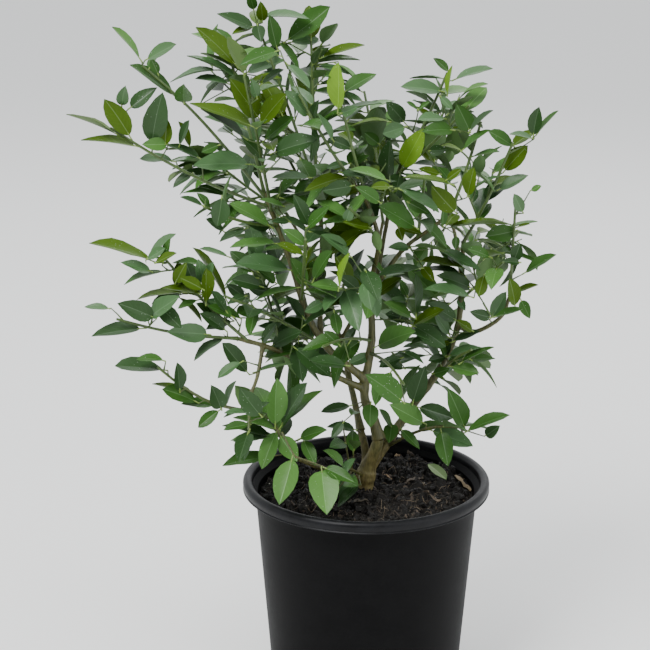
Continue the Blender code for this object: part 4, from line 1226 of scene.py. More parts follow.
def set_by_hand(crown):
    """The set twigs and leaves, put in before any other."""
    for name, twigs in SET_TWIGS.items():
        for start, end, thickness in twigs:
            set_twig(crown[name], metres(start), metres(end), thickness)
    for tone, leaves in SET_LEAVES.items():
        for leaf in leaves:
            turn, arch, width = leaf[6:]
            set_leaf(crown, tone, metres(leaf[:3]), metres(leaf[3:6]), turn, arch / 100, width / 100)


# %% Grow every shoot
def grow_crown():
    spaces, crowd = Spaces(), Crowd()
    crown = {name: Growth(name, path, spaces, crowd) for name, path in SHOOT_PATHS.items()}
    set_by_hand(crown)
    shown = [leaf_place(leaf, s, 0) for growth in crown.values() for leaf in growth.leaves
             for s in SHOWN_SPOTS]
    shown += [point for name in SHOWN_LIMBS for point in LIMB_PATHS[name].path.points
              if point.z < SHOWN_BELOW * MM]
    crowd.watch(shown)
    for growth in crown.values():
        if growth.name not in SET_SHOOTS:
            growth.grow_stem()
    for fill_round in range(FILL_ROUNDS):
        for growth in crown.values():
            if growth.name not in PLAIN_SHOOTS + SET_SHOOTS:
                growth.fill(fill_round)
    return crown


CROWN = grow_crown()
print(sum(len(growth.leaves) for growth in CROWN.values()), "leaves,",
      sum(len(growth.twigs) for growth in CROWN.values()), "side twigs")

# %% [markdown]
# ## Trunk, stems and boughs
# Wood here is round, so every limb is a line with a width at each place, swept to a tube by one
# Geometry Nodes tree. Swept tubes only pass through each other, and real wood flows together at a
# fork. So the tubes are fused by a voxel Remesh and smoothed a little, and a second tree raises the
# bark's relief on the result. The CAD limbs are plain cones, and these pieces replace them.

# %% The tree that sweeps lines to tubes
def build_tubes():
    tree, given, result = new_tree("GeometryNodeTree", "tapering_tubes", {
        "Lines": "geometry", "Sides": "int", "Finish": "material"}, {"Mesh": "geometry"})
    curves = add(tree, "GeometryNodeMeshToCurve", [(0, given.outputs["Lines"])])
    ring = add(tree, "GeometryNodeCurvePrimitiveCircle",
               [("Resolution", given.outputs["Sides"]), ("Radius", 1.0)])
    width = add(tree, "GeometryNodeInputNamedAttribute", [("Name", "width")], data_type="FLOAT")
    swept = add(tree, "GeometryNodeCurveToMesh",
                [("Curve", curves.outputs[0]), ("Profile Curve", ring.outputs[0]),
                 ("Scale", width.outputs[0]), ("Fill Caps", True)])
    smooth = add(tree, "GeometryNodeSetShadeSmooth", [(0, swept.outputs[0])])
    real = add(tree, "GeometryNodeRealizeInstances", [(0, smooth.outputs[0])])
    painted = add(tree, "GeometryNodeSetMaterial",
                  [(0, real.outputs[0]), ("Material", given.outputs["Finish"])])
    tree.links.new(painted.outputs[0], result.inputs["Mesh"])
    return tree


TUBES = build_tubes()


def swept(name, lines, sides, finish):
    """A draft object with a tube along each line, which is a list of (place, width)."""
    places = [place for line in lines for place, _ in line]
    edges, first = [], 0
    for line in lines:
        edges += [(first + i, first + i + 1) for i in range(len(line) - 1)]
        first += len(line)
    mesh = bpy.data.meshes.new(name)
    mesh.from_pydata(places, edges, [])
    widths = mesh.attributes.new("width", "FLOAT", "POINT")
    widths.data.foreach_set("value", [width for line in lines for _, width in line])
    draft = drafted(name, mesh)
    run_tree(draft, TUBES, {"Sides": sides, "Finish": finish})
    return draft


print("tube tree with", len(TUBES.nodes), "nodes")


# %% The tree that raises the bark's relief
def build_relief():
    tree, given, result = new_tree("GeometryNodeTree", "bark_relief", {
        "Wood": "geometry", "Ridges": "float", "Ridge Scale": "float", "Lumps": "float",
        "Finish": "material"}, {"Mesh": "geometry"})
    place = add(tree, "GeometryNodeInputPosition").outputs[0]
    drawn = add(tree, "ShaderNodeVectorMath", [(0, place), (1, (1, 1, 0.22))], operation="MULTIPLY")
    ridges = add(tree, "ShaderNodeTexNoise",
                 [("Vector", drawn.outputs[0]), ("Scale", given.outputs["Ridge Scale"]),
                  ("Detail", 3.0), ("Roughness", 0.6)]).outputs["Fac"]
    lumps = add(tree, "ShaderNodeTexNoise",
                [("Vector", place), ("Scale", 110.0), ("Detail", 2.0)]).outputs["Fac"]
    height = math_node(tree, "ADD",
                       math_node(tree, "MULTIPLY", math_node(tree, "SUBTRACT", ridges, 0.5),
                                 given.outputs["Ridges"]),
                       math_node(tree, "MULTIPLY", math_node(tree, "SUBTRACT", lumps, 0.5),
                                 given.outputs["Lumps"]))
    normal = add(tree, "GeometryNodeInputNormal").outputs[0]
    push = add(tree, "ShaderNodeVectorMath", [(0, normal), (3, height)], operation="SCALE")
    moved = add(tree, "GeometryNodeSetPosition",
                [("Geometry", given.outputs["Wood"]), ("Offset", push.outputs[0])])
    smooth = add(tree, "GeometryNodeSetShadeSmooth", [(0, moved.outputs[0])])
    real = add(tree, "GeometryNodeRealizeInstances", [(0, smooth.outputs[0])])
    painted = add(tree, "GeometryNodeSetMaterial",
                  [(0, real.outputs[0]), ("Material", given.outputs["Finish"])])
    tree.links.new(painted.outputs[0], result.inputs["Mesh"])
    return tree


RELIEF = build_relief()
print("relief tree with", len(RELIEF.nodes), "nodes")

# %% [markdown]
# ## Bark finishes
# Young citrus wood is green, with pale streaks along it and brown scars where leaves have been.
# Only the foot has turned grey-brown. One group makes both: streaks drawn out along the limb, and
# a share of brown that falls with height, so the trunk's finish runs into the green of the stems.

# %% The bark group
def build_bark():
    tree, given, result = new_tree("ShaderNodeTree", "young_bark", {
        "Old": "colour", "Old Light": "colour", "Green": "colour", "Green Light": "colour",
        "Change Low": "float", "Change High": "float"}, {"Colour": "colour", "Height": "float"})
    place = add(tree, "ShaderNodeTexCoord").outputs["Object"]
    drawn = add(tree, "ShaderNodeMapping", [("Vector", place), ("Scale", (1, 1, 0.25))])
    streaks = add(tree, "ShaderNodeTexNoise",
                  [("Vector", drawn.outputs[0]), ("Scale", 620.0), ("Detail", 4.0),
                   ("Roughness", 0.65)]).outputs["Fac"]
    patches = add(tree, "ShaderNodeTexNoise",
                  [("Vector", place), ("Scale", 75.0), ("Detail", 3.0)]).outputs["Fac"]
    height = add(tree, "ShaderNodeSeparateXYZ", [("Vector", place)]).outputs["Z"]
    loose = math_node(tree, "ADD", height,
                      math_node(tree, "MULTIPLY", math_node(tree, "SUBTRACT", patches, 0.5), 0.12))
    change = add(tree, "ShaderNodeMapRange",
                 [("Value", loose), ("From Min", given.outputs["Change Low"]),
                  ("From Max", given.outputs["Change High"])]).outputs[0]
    contrast = add(tree, "ShaderNodeMapRange",
                   [("Value", streaks), ("From Min", 0.35), ("From Max", 0.68)]).outputs[0]
    old = mixed(tree, contrast, given.outputs["Old"], given.outputs["Old Light"])
    green = mixed(tree, contrast, given.outputs["Green"], given.outputs["Green Light"])
    tree.links.new(mixed(tree, change, old, green), result.inputs["Colour"])
    tree.links.new(streaks, result.inputs["Height"])
    return tree


BARK = build_bark()


def bark_finish(name, old, old_light, green, green_light, change, roughness, bump):
    """A bark finish; change is the heights, in millimetres, between which brown turns green."""
    made = plain_material(name, green_light, roughness)
    tree = made.node_tree
    group = add(tree, "ShaderNodeGroup", node_tree=BARK)
    values = {"Old": (*old, 1), "Old Light": (*old_light, 1), "Green": (*green, 1),
              "Green Light": (*green_light, 1), "Change Low": change[0] * MM,
              "Change High": change[1] * MM}
    for socket, value in values.items():
        group.inputs[socket].default_value = value
    relief = add(tree, "ShaderNodeBump", [("Height", group.outputs["Height"]), ("Distance", bump * MM)])
    shader = tree.nodes["Principled BSDF"]
    tree.links.new(group.outputs["Colour"], shader.inputs["Base Color"])
    tree.links.new(relief.outputs["Normal"], shader.inputs["Normal"])
    return made


OLD_BARK = ((0.074, 0.058, 0.015), (0.185, 0.152, 0.045))
GREEN_BARK = ((0.040, 0.045, 0.009), (0.104, 0.101, 0.026))
TWIG_BARK = ((0.038, 0.070, 0.013), (0.076, 0.132, 0.027))
TRUNK_FINISH = bark_finish("trunk_bark", *OLD_BARK, *GREEN_BARK, (205, 262), 0.62, 0.30)
STEM_FINISH = bark_finish("stem_bark", *OLD_BARK, *GREEN_BARK, (190, 250), 0.50, 0.15)
TWIG_FINISH = bark_finish("twig_bark", *GREEN_BARK, *TWIG_BARK, (240, 330), 0.42, 0.06)
print("three bark finishes")


# %% Lines with widths for the limbs
TRUNK_LIMBS = ("trunk", "fork_left", "fork_middle", "fork_right")
LIMB_STEP = 2
FLARE = 0.25
FLARE_HEIGHT = 7
COLLAR = 0.45
COLLAR_REACH = 1.3
NODE_SWELL = 0.16
NODE_REACH = 3.0
BURIED = 6


def nodes_on(name):
    """The shares of a limb's length at which limbs and shoots leave it."""
    shares = [limb.at for limb in LIMBS.values() if limb.parent == name]
    return shares + [shoot.at for shoot in SHOOTS.values() if shoot.limb == name]


def limb_line(name):
    """A limb as places and widths, thicker at its collar and wherever something leaves it."""
    grown, limb = LIMB_PATHS[name], LIMBS[name]
    root, tip = grown.radii
    length = grown.path.length
    count = max(4, round(length / (LIMB_STEP * MM)))
    marks = [share * length for share in nodes_on(name) if share < 1]
    line = []
    for i in range(count + 1):
        distance = length * i / count
        place = grown.path.at(distance)[0]
        width = root + (tip - root) * i / count
        if limb.parent:
            width *= 1 + COLLAR * math.exp(-distance / (COLLAR_REACH * root * 2))
        else:
            width *= 1 + FLARE * math.exp(-(place.z - SOIL_LEVEL * MM) / (FLARE_HEIGHT * MM))
        for mark in marks:
            width *= 1 + NODE_SWELL * math.exp(-((distance - mark) / (NODE_REACH * MM)) ** 2)
        line.append((place, width))
    if not limb.parent:
        line.insert(0, (line[0][0] - UP * BURIED * MM, line[0][1] * 1.15))
    return line


# %% Fuse the limbs and raise their bark
def fused(draft, voxel, smoothing):
    """The draft's tubes as one skin, without the ridges where they met."""
    remesh = draft.modifiers.new("Fuse", "REMESH")
    remesh.mode = "VOXEL"
    remesh.voxel_size = voxel * MM
    relax = draft.modifiers.new("Relax", "SMOOTH")
    relax.factor = 0.5
    relax.iterations = smoothing
    seen = draft.evaluated_get(bpy.context.evaluated_depsgraph_get())
    mesh = bpy.data.meshes.new_from_object(seen)
    draft.modifiers.clear()
    draft.data = mesh


def make_wood(name, limbs, voxel, smoothing, relief, finish, replaced):
    wood = swept(name, [limb_line(limb) for limb in limbs], 20, finish)
    fused(wood, voxel, smoothing)
    ridges, scale, lumps = relief
    run_tree(wood, RELIEF, {"Ridges": ridges * MM, "Ridge Scale": scale, "Lumps": lumps * MM,
                            "Finish": finish})
    finish_piece(wood, replaced)


make_wood("trunk_wood", TRUNK_LIMBS, 0.5, 6, (0.9, 420.0, 1.5), TRUNK_FINISH, ["trunk"])
make_wood("stems_and_boughs", [name for name in LIMBS if name not in TRUNK_LIMBS], 0.7, 3,
          (0.5, 520.0, 0.7), STEM_FINISH, [n for n in LIMB_NODES if n != "trunk"])

# %% [markdown]
# ## Shoot stems, twigs and thorns
# The green stems and side twigs are swept by the same tree as the limbs, with fewer sides. A lime
# has short straight thorns beside many of its leaves. They are lines too, that end in a point.

# %% Stems of the shoots and their twigs
STEM_SIDES = 8
TWIG_SIDES = 6
THORN_SIDES = 5
THORN_SHARE = 0.16
THORN_LENGTHS = (4, 8)
THORN_WIDTH = 0.5
TWIG_BOW = 0.5


def shoot_line(name, growth):
    """The stem of a shoot, from the middle of its limb."""
    shoot = SHOOTS[name]
    grown = LIMB_PATHS[shoot.limb]
    foot = grown.path.at(grown.path.length * shoot.at)[0]
    limb_width = grown.radii[1] if shoot.at == 1 else STEM_RADII[0] * MM
    path = Path([foot] + growth.stops, 4 * MM)
    line = []
    for place, mark in zip(path.points, path.marks):
        share = mark / path.length
        width = (STEM_RADII[0] + (STEM_RADII[1] - STEM_RADII[0]) * share) * MM
        width += max(0.0, limb_width - width) * max(0.0, 1 - mark / (14 * MM))
        width *= 1 + 0.5 * math.exp(-mark / (3 * MM))
        line.append((place, width))
    return line


def twig_line(twig, rng):
    """A twig with a slight bow, thickest at its foot."""
    middle = twig.start.lerp(twig.end, 0.5)
    middle += Vector([rng.uniform(-TWIG_BOW, TWIG_BOW) for _ in range(3)]) * MM
    path = Path([twig.start, middle, twig.end], 5 * MM)
    width = twig.thickness * MM
    return [(place, width * (1 - 0.35 * mark / path.length) * (1 + 0.4 * math.exp(-mark / (3 * MM))))
            for place, mark in zip(path.points, path.marks)]


def thorn_line(leaf, rng):
    side = leaf.face.cross(leaf.along) * rng.choice((-1, 1))
    heading = (side + leaf.face * 0.6 + leaf.along * 0.3).normalized()
    length = rng.uniform(*THORN_LENGTHS) * MM
    return [(leaf.root + heading * length * share, THORN_WIDTH * MM * width)
            for share, width in ((0, 1.2), (0.45, 0.75), (0.85, 0.35), (1, 0.08))]


def make_stems_and_twigs():
    rng = random.Random(41)
    stems = [shoot_line(name, growth) for name, growth in CROWN.items()]
    twigs = [twig_line(twig, rng) for growth in CROWN.values() for twig in growth.twigs]
    thorns = [thorn_line(leaf, rng) for growth in CROWN.values() for leaf in growth.leaves
              if rng.random() < THORN_SHARE]
    finish_piece(swept("shoot_stems", stems, STEM_SIDES, TWIG_FINISH))
    finish_piece(swept("twigs", twigs, TWIG_SIDES, TWIG_FINISH))
    thorn_finish = bark_finish("thorn_green", *TWIG_BARK, *TWIG_BARK, (200, 300), 0.40, 0.02)
    finish_piece(swept("thorns", thorns, THORN_SIDES, thorn_finish))


make_stems_and_twigs()

# %% [markdown]
# ## Leaf finishes
# A lime leaf is leathery: dark and softly glossy above, paler and matt below, with a pale midrib
# and faint side veins. Photographed leaves could be cut from an image, but the outline and the
# fold would be lost. So each blade is a mesh with its own map, along and across, and the veins
# are drawn by that map. The tone of a leaf is a plain colour that is dealt out by spray. One tone
# is a painted sheen: its bluish grey-green colour paints in the pale reflection of glossy tops.

# %% The vein group
def build_veins():
    tree, given, result = new_tree("ShaderNodeTree", "leaf_veins", {
        "Blade": "colour", "Vein": "colour", "Patch": "colour", "Strength": "float",
        "Roughness": "float", "Specks": "float"},
        {"Colour": "colour", "Roughness": "float", "Height": "float"})
    coords = add(tree, "ShaderNodeTexCoord")
    split = add(tree, "ShaderNodeSeparateXYZ", [("Vector", coords.outputs["UV"])])
    across = math_node(tree, "ABSOLUTE", math_node(tree, "SUBTRACT", split.outputs["Y"], 0.5))
    slant = math_node(tree, "SUBTRACT", split.outputs["X"], math_node(tree, "MULTIPLY", across, 0.55))
    comb = math_node(tree, "COSINE", math_node(tree, "MULTIPLY", slant, 46.0))
    vein = add(tree, "ShaderNodeMapRange",
               [("Value", comb), ("From Min", 0.55), ("From Max", 1.0)]).outputs[0]
    place = coords.outputs["Object"]
    patches = add(tree, "ShaderNodeTexNoise",
                  [("Vector", place), ("Scale", 30.0), ("Detail", 2.0)]).outputs["Fac"]
    patch = add(tree, "ShaderNodeMapRange",
                [("Value", patches), ("From Min", 0.38), ("From Max", 0.66)]).outputs[0]
    ground = mixed(tree, patch, given.outputs["Blade"], given.outputs["Patch"])
    share = math_node(tree, "MULTIPLY", vein, given.outputs["Strength"])
    veined = mixed(tree, share, ground, given.outputs["Vein"])
    spots = add(tree, "ShaderNodeTexVoronoi", [("Vector", place), ("Scale", 380.0)]).outputs["Distance"]
    spot = math_node(tree, "LESS_THAN", spots, 0.095)
    wet = math_node(tree, "GREATER_THAN", patches, 0.5)
    speck = math_node(tree, "MULTIPLY", math_node(tree, "MULTIPLY", spot, wet), given.outputs["Specks"])
    dotted = mixed(tree, speck, veined, (0.62, 0.68, 0.60, 1))
    tree.links.new(dotted, result.inputs["Colour"])
    fine = add(tree, "ShaderNodeTexNoise",
               [("Vector", place), ("Scale", 900.0), ("Detail", 2.0)]).outputs["Fac"]
    rough = math_node(tree, "ADD", given.outputs["Roughness"],
                      math_node(tree, "MULTIPLY", math_node(tree, "SUBTRACT", fine, 0.5), 0.25))
    tree.links.new(rough, result.inputs["Roughness"])
    height = math_node(tree, "SUBTRACT", math_node(tree, "MULTIPLY", fine, 0.35), vein)
    tree.links.new(height, result.inputs["Height"])
    return tree


VEINS = build_veins()


def leaf_finish(name, blade, patch, vein, strength, roughness, bump, specks=0.0, gloss=0.3):
    made = plain_material(name, blade, roughness)
    tree = made.node_tree
    group = add(tree, "ShaderNodeGroup", node_tree=VEINS)
    values = {"Blade": (*blade, 1), "Patch": (*patch, 1), "Vein": (*vein, 1), "Strength": strength,
              "Roughness": roughness, "Specks": specks}
    for socket, value in values.items():
        group.inputs[socket].default_value = value
    relief = add(tree, "ShaderNodeBump", [("Height", group.outputs["Height"]), ("Distance", bump * MM)])
    shader = tree.nodes["Principled BSDF"]
    shader.inputs["Specular IOR Level"].default_value = gloss
    tree.links.new(group.outputs["Colour"], shader.inputs["Base Color"])
    tree.links.new(group.outputs["Roughness"], shader.inputs["Roughness"])
    tree.links.new(relief.outputs["Normal"], shader.inputs["Normal"])
    return made


# %% The six tones
Tone = namedtuple("Tone", "low high blade gloss")
TONES = {
    "dark": Tone(0.28, 0.12, (0.019, 0.052, 0.012), 0.24),
    "deep": Tone(0.30, 0.26, (0.029, 0.084, 0.012), 0.16),
    # This tone's bluish grey-green blade colour is a painted sheen, the pale reflection of glossy leaf tops; its
    # gloss is real.
    "dewy": Tone(0.25, 0.24, (0.048, 0.113, 0.036), 0.38),
    "fresh": Tone(0.11, 0.16, (0.062, 0.156, 0.029), 0.22),
    "olive": Tone(0.04, 0.22, (0.048, 0.094, 0.006), 0.08),
    "young": Tone(0.0, 0.008, (0.130, 0.250, 0.018), 0.15),
}
UNDERSIDE = (0.086, 0.145, 0.048)


def lighter(colour, factor, lift=0.0):
    return tuple(value * factor + lift for value in colour)


def leaf_finishes(tone_name):
    """The top, midrib and underside of one tone."""
    tone = TONES[tone_name]
    vein = lighter(tone.blade, 1.4, 0.008)
    top = leaf_finish(f"leaf_top_{tone_name}", tone.blade, lighter(tone.blade, 1.22), vein, 0.12,
                      0.38, 0.05, 0.5, tone.gloss)
    rib = plain_material(f"leaf_rib_{tone_name}", vein, 0.45)
    pale = tuple((a + b) / 2 for a, b in zip(UNDERSIDE, lighter(tone.blade, 1.2)))
    under = leaf_finish(f"leaf_under_{tone_name}", pale, pale, lighter(pale, 1.2), 0.15, 0.60, 0.06)
    return [top, rib, under]


# %% [markdown]
# ## Leaf blades
# A blade is a thin closed shell: eight rows from its base to its tip, a narrow strip for the
# midrib, and an underside that shares the margin. It is folded along the midrib, arched back,
# twisted a little and waved at the margin, each leaf by its own numbers.

# %% The shape of one blade
BLADE_START = 0.10
BLADE_ROWS = (0.0, 0.06, 0.17, 0.32, 0.50, 0.69, 0.87, 1.0)
BASE_ROUND = 0.70
TIP_POINT = 0.82
ROUND_RANGE = (-0.12, 0.12)
WIDTH_RANGE = (0.84, 1.04)
RIB_HALF = 0.33
BLADE_THICKNESS = 0.42
GROOVE = 0.12
UNDER_STRIPS = ((6, 0, 0.22, 0.0), (7, 6, 0.5, 0.22), (8, 7, 0.78, 0.5), (5, 8, 1.0, 0.78))
TWISTS = (-0.32, 0.32)
WAVES = (0.0, 0.018)
SWAYS = (-0.09, 0.09)
TOP, RIB, UNDER = range(3)


def blade_width(t, base, tip):
    """The half width at a share of the blade's length, 1 at the widest place."""
    widest = base / (base + tip)
    full = widest ** base * (1 - widest) ** tip
    return max(0.02, t ** base * (1 - t) ** tip / full)


def blade_rows(leaf, rng):
    """For each row, a function from across (-1 to 1) and depth to a place."""
    side = leaf.along.cross(leaf.face)
    twist, wave, sway = rng.uniform(*TWISTS), rng.uniform(*WAVES), rng.uniform(*SWAYS)
    phase = rng.uniform(0, TAU)
    half = leaf.length * leaf.width / 2 * rng.uniform(*WIDTH_RANGE)
    rounder = rng.uniform(*ROUND_RANGE)
    rows = []
    for t in BLADE_ROWS:
        s = BLADE_START + (1 - BLADE_START) * t
        turned_side = side * math.cos(twist * t) + leaf.face * math.sin(twist * t)
        lift = leaf.face * math.cos(twist * t) - side * math.sin(twist * t)
        middle = (leaf.root + leaf.along * (leaf.length * s) + side * (sway * leaf.length * t * t)
                  - leaf.face * (leaf.arch * leaf.length * s * s))
        rows.append((middle, turned_side, lift, blade_width(t, BASE_ROUND + rounder, TIP_POINT - rounder) * half,
                     wave * leaf.length * math.sin(phase + 9 * t)))
    return rows


def row_place(row, across, depth=0.0):
    middle, side, lift, half, ripple = row
    rise = abs(across) ** 1.25 * half * LEAF_FOLD + ripple * across * across - depth
    return middle + side * (across * half) + lift * rise


# %% Leaves by tone
class Blades:
    """The blades of one tone, gathered into one mesh."""

    def __init__(self):
        self.places, self.faces, self.kinds, self.maps = [], [], [], []

    def add(self, leaf, rng):
        first = len(self.places)
        rows = blade_rows(leaf, rng)
        for row in rows:
            rib = min(0.5, RIB_HALF * MM / row[3])
            for across in (-1, -0.55, -rib, rib, 0.55, 1):
                self.places.append(row_place(row, across))
            for across in (-0.55, 0, 0.55):
                self.places.append(row_place(row, across, BLADE_THICKNESS * MM))
            for groove in (-7, -6):
                self.places[groove] -= row[2] * GROOVE * MM
        marks = (0.0, 0.22, 0.47, 0.53, 0.78, 1.0)
        last = len(rows) - 1
        for i in range(last):
            a, b = first + 9 * i, first + 9 * (i + 1)
            s, e = BLADE_ROWS[i], BLADE_ROWS[i + 1]
            for k in range(5):
                self.quad((a + k, a + k + 1, b + k + 1, b + k), RIB if k == 2 else TOP,
                          ((s, marks[k]), (s, marks[k + 1]), (e, marks[k + 1]), (e, marks[k])))
            for left, right, start, end in UNDER_STRIPS:
                self.quad((a + right, b + right, b + left, a + left), UNDER,
                          ((s, end), (e, end), (e, start), (s, start)))
        for a, ring in ((first, (5, 4, 3, 2, 1, 0, 6, 7, 8)),
                        (first + 9 * last, (0, 1, 2, 3, 4, 5, 8, 7, 6))):
            self.quad([a + k for k in ring], UNDER, [(0.5, 0.5)] * 9)

    def quad(self, corners, kind, places):
        self.faces.append(corners)
        self.kinds.append(kind)
        self.maps += places

    def mesh(self, name, finishes):
        mesh = bpy.data.meshes.new(name)
        mesh.from_pydata(self.places, [], self.faces)
        for finish in finishes:
            mesh.materials.append(finish)
        mesh.polygons.foreach_set("material_index", self.kinds)
        layer = mesh.uv_layers.new(name="blade")
        layer.data.foreach_set("uv", [value for place in self.maps for value in place])
        mesh.shade_smooth()
        mesh.set_sharp_from_angle(angle=math.radians(55))
        return mesh


# %% Deal the tones out by spray
LOW, HIGH = 300, 560
OWN_TONE = 0.15
NAMED_SHARE = 0.75
# The right foot's shoot mostly takes the tone of painted sheen.
NAMED_TONES = {"leaves_rosette": "fresh", "leaves_right_foot": "dewy", "leaves_middle_front": "deep"}
YOUNG_SHOOTS = ("leaves_yellow_tip", "leaves_right_shoot")


def tones_of(name, growth):
    """The tone of each spray of a shoot, by a seeded draw; higher sprays are yellower."""
    rng = random.Random(SHOOTS[name].seed * 7 + 3)
    names = list(TONES)
    rise = (growth.stops[-1].z / MM - LOW) / (HIGH - LOW)
    rise = min(1.0, max(0.0, rise))
    shares = [tone.low + (tone.high - tone.low) * rise for tone in TONES.values()]
    own = NAMED_TONES.get(name, rng.choices(names[:-1], shares[:-1])[0])
    own_share = NAMED_SHARE if name in NAMED_TONES else OWN_TONE
    tones = {}
    for spray in sorted({leaf.spray for leaf in growth.leaves if leaf.spray not in TONES}):
        tones[spray] = own if rng.random() < own_share else rng.choices(names, shares)[0]
    if name in YOUNG_SHOOTS:
        tones[TIP_SPRAY] = "young"
    return tones


def make_leaves():
    gathered = {tone: Blades() for tone in TONES}
    petioles = []
    for name, growth in CROWN.items():
        rng = random.Random(SHOOTS[name].seed + 900)
        tones = tones_of(name, growth)
        for leaf in growth.leaves:
            gathered[tones.get(leaf.spray, leaf.spray)].add(leaf, rng)
            petioles.append([(leaf_place(leaf, s, 0), width * MM)
                             for s, width in ((0, 0.75), (0.05, 0.6), (0.10, 0.62), (0.16, 0.3))])
    for tone, blades in gathered.items():
        mesh = blades.mesh(f"leaves_{tone}", leaf_finishes(tone))
        new_piece(mesh.name, mesh, SHOOT_NODES if tone == "deep" else ())
    stalk = bark_finish("petiole_green", *TWIG_BARK, (0.13, 0.22, 0.03), (0.24, 0.34, 0.07),
                        (200, 260), 0.42, 0.02)
    finish_piece(swept("petioles", petioles, 5, stalk))


make_leaves()

# %% [markdown]
# ## The potting mix
# Potting mix is bark crumbs, peat and coir fibres in loose clods. A bump map would stay flat at
# the pot's rim, where the surface is seen from the side. So the surface is a fine polar grid,
# raised by noise at several sizes, and a Geometry Nodes tree strews crumbs on it.

# %% The surface of the mix
MIX_FALL = 4
MIX_FLAT = 84
MIX_RINGS = 66
MIX_SPOKES = 230
MIX_LUMPS = ((5.0, 30, 11), (6.0, 12, 23), (3.0, 5.5, 37), (1.2, 2.4, 51))


def mix_height(x, y):
    """The height of the surface in millimetres: a slight fall to the wall, and lumps."""
    out = math.hypot(x, y)
    fall = MIX_FALL * min(1.0, max(0.0, (out - MIX_FLAT * 0.6) / (MIX_FLAT * 0.55))) ** 2
    height = SOIL_LEVEL - fall
    for size, spread, seed in MIX_LUMPS:
        lump = noise.noise(Vector((x / spread, y / spread, seed)))
        height += size * (abs(lump) * 1.6 - 0.35)
    return height


def make_mix():
    edge = wall_radius(SOIL_LEVEL - MIX_FALL) - WALL - 0.3
    places, faces = [], []
    for ring in range(1, MIX_RINGS + 1):
        out = edge * ring / MIX_RINGS
        for k in range(MIX_SPOKES):
            angle = TAU * k / MIX_SPOKES
            x, y = out * math.cos(angle), out * math.sin(angle)
            places.append((x, y, mix_height(x, y)))
    low = wall_radius(FLOOR_THICKNESS) - WALL - 3.2
    for k in range(MIX_SPOKES):
        angle = TAU * k / MIX_SPOKES
        places.append((low * math.cos(angle), low * math.sin(angle), FLOOR_THICKNESS + 0.4))
    middle, foot = len(places), len(places) + 1
    places += [(0, 0, mix_height(0, 0)), (0, 0, FLOOR_THICKNESS + 0.4)]
    for ring in range(MIX_RINGS):
        for k in range(MIX_SPOKES):
            n = (k + 1) % MIX_SPOKES
            a, b = ring * MIX_SPOKES, (ring + 1) * MIX_SPOKES
            faces.append((a + k, b + k, b + n, a + n))
    last = MIX_RINGS * MIX_SPOKES
    for k in range(MIX_SPOKES):
        n = (k + 1) % MIX_SPOKES
        faces.append((middle, k, n))
        faces.append((foot, last + n, last + k))
    mesh = bpy.data.meshes.new("potting_mix")
    mesh.from_pydata([Vector(place) * MM for place in places], [], faces)
    mesh.materials.append(mottled("potting_mix", (0.0010, 0.0009, 0.0007), (0.0085, 0.0071, 0.0056),
                                  260, 2.6, 0.66, 0.3, 0.6, 0.20))
    mesh.shade_smooth()
    return new_piece("potting_mix", mesh, ["soil"])


MIX = make_mix()


# %% The tree that strews crumbs
def build_strew():
    tree, given, result = new_tree("GeometryNodeTree", "strewn_crumbs", {
        "Surface": "geometry", "Per Square Metre": "float", "Seed": "int", "Least": "vector",
        "Most": "vector", "Detail": "int", "Ruggedness": "float", "Finish": "material"},
        {"Mesh": "geometry"})
    normal = add(tree, "GeometryNodeInputNormal").outputs[0]
    upward = add(tree, "ShaderNodeSeparateXYZ", [(0, normal)]).outputs["Z"]
    facing = math_node(tree, "GREATER_THAN", upward, 0.3)
    top = add(tree, "GeometryNodeSeparateGeometry",
              [("Geometry", given.outputs["Surface"]), ("Selection", facing)], domain="FACE")
    points = add(tree, "GeometryNodeDistributePointsOnFaces",
                 [("Mesh", top.outputs[0]), ("Density", given.outputs["Per Square Metre"]),
                  ("Seed", given.outputs["Seed"])])
    turn = add(tree, "FunctionNodeRandomValue",
               [(0, (0, 0, 0)), (1, (TAU, TAU, TAU)), ("Seed", given.outputs["Seed"])],
               data_type="FLOAT_VECTOR").outputs[0]
    spin = add(tree, "FunctionNodeEulerToRotation", [(0, turn)]).outputs[0]
    size = add(tree, "FunctionNodeRandomValue",
               [(0, given.outputs["Least"]), (1, given.outputs["Most"]),
                ("Seed", given.outputs["Seed"])], data_type="FLOAT_VECTOR").outputs[0]
    crumb = add(tree, "GeometryNodeMeshIcoSphere",
                [("Radius", 1.0), ("Subdivisions", given.outputs["Detail"])]).outputs[0]
    crumbs = add(tree, "GeometryNodeInstanceOnPoints",
                 [("Points", points.outputs[0]), ("Instance", crumb), ("Rotation", spin),
                  ("Scale", size)])
    real = add(tree, "GeometryNodeRealizeInstances", [(0, crumbs.outputs[0])])
    lumps = add(tree, "ShaderNodeTexNoise", [("Scale", 330.0), ("Detail", 1.0)])
    place = add(tree, "GeometryNodeInputPosition").outputs[0]
    tree.links.new(place, lumps.inputs["Vector"])
    centred = add(tree, "ShaderNodeVectorMath", [(0, lumps.outputs["Color"]), (1, (0.5, 0.5, 0.5))],
                  operation="SUBTRACT")
    push = add(tree, "ShaderNodeVectorMath",
               [(0, centred.outputs[0]), (3, given.outputs["Ruggedness"])], operation="SCALE")
    moved = add(tree, "GeometryNodeSetPosition", [(0, real.outputs[0]), ("Offset", push.outputs[0])])
    painted = add(tree, "GeometryNodeSetMaterial",
                  [(0, moved.outputs[0]), ("Material", given.outputs["Finish"])])
    tree.links.new(painted.outputs[0], result.inputs["Mesh"])
    return tree


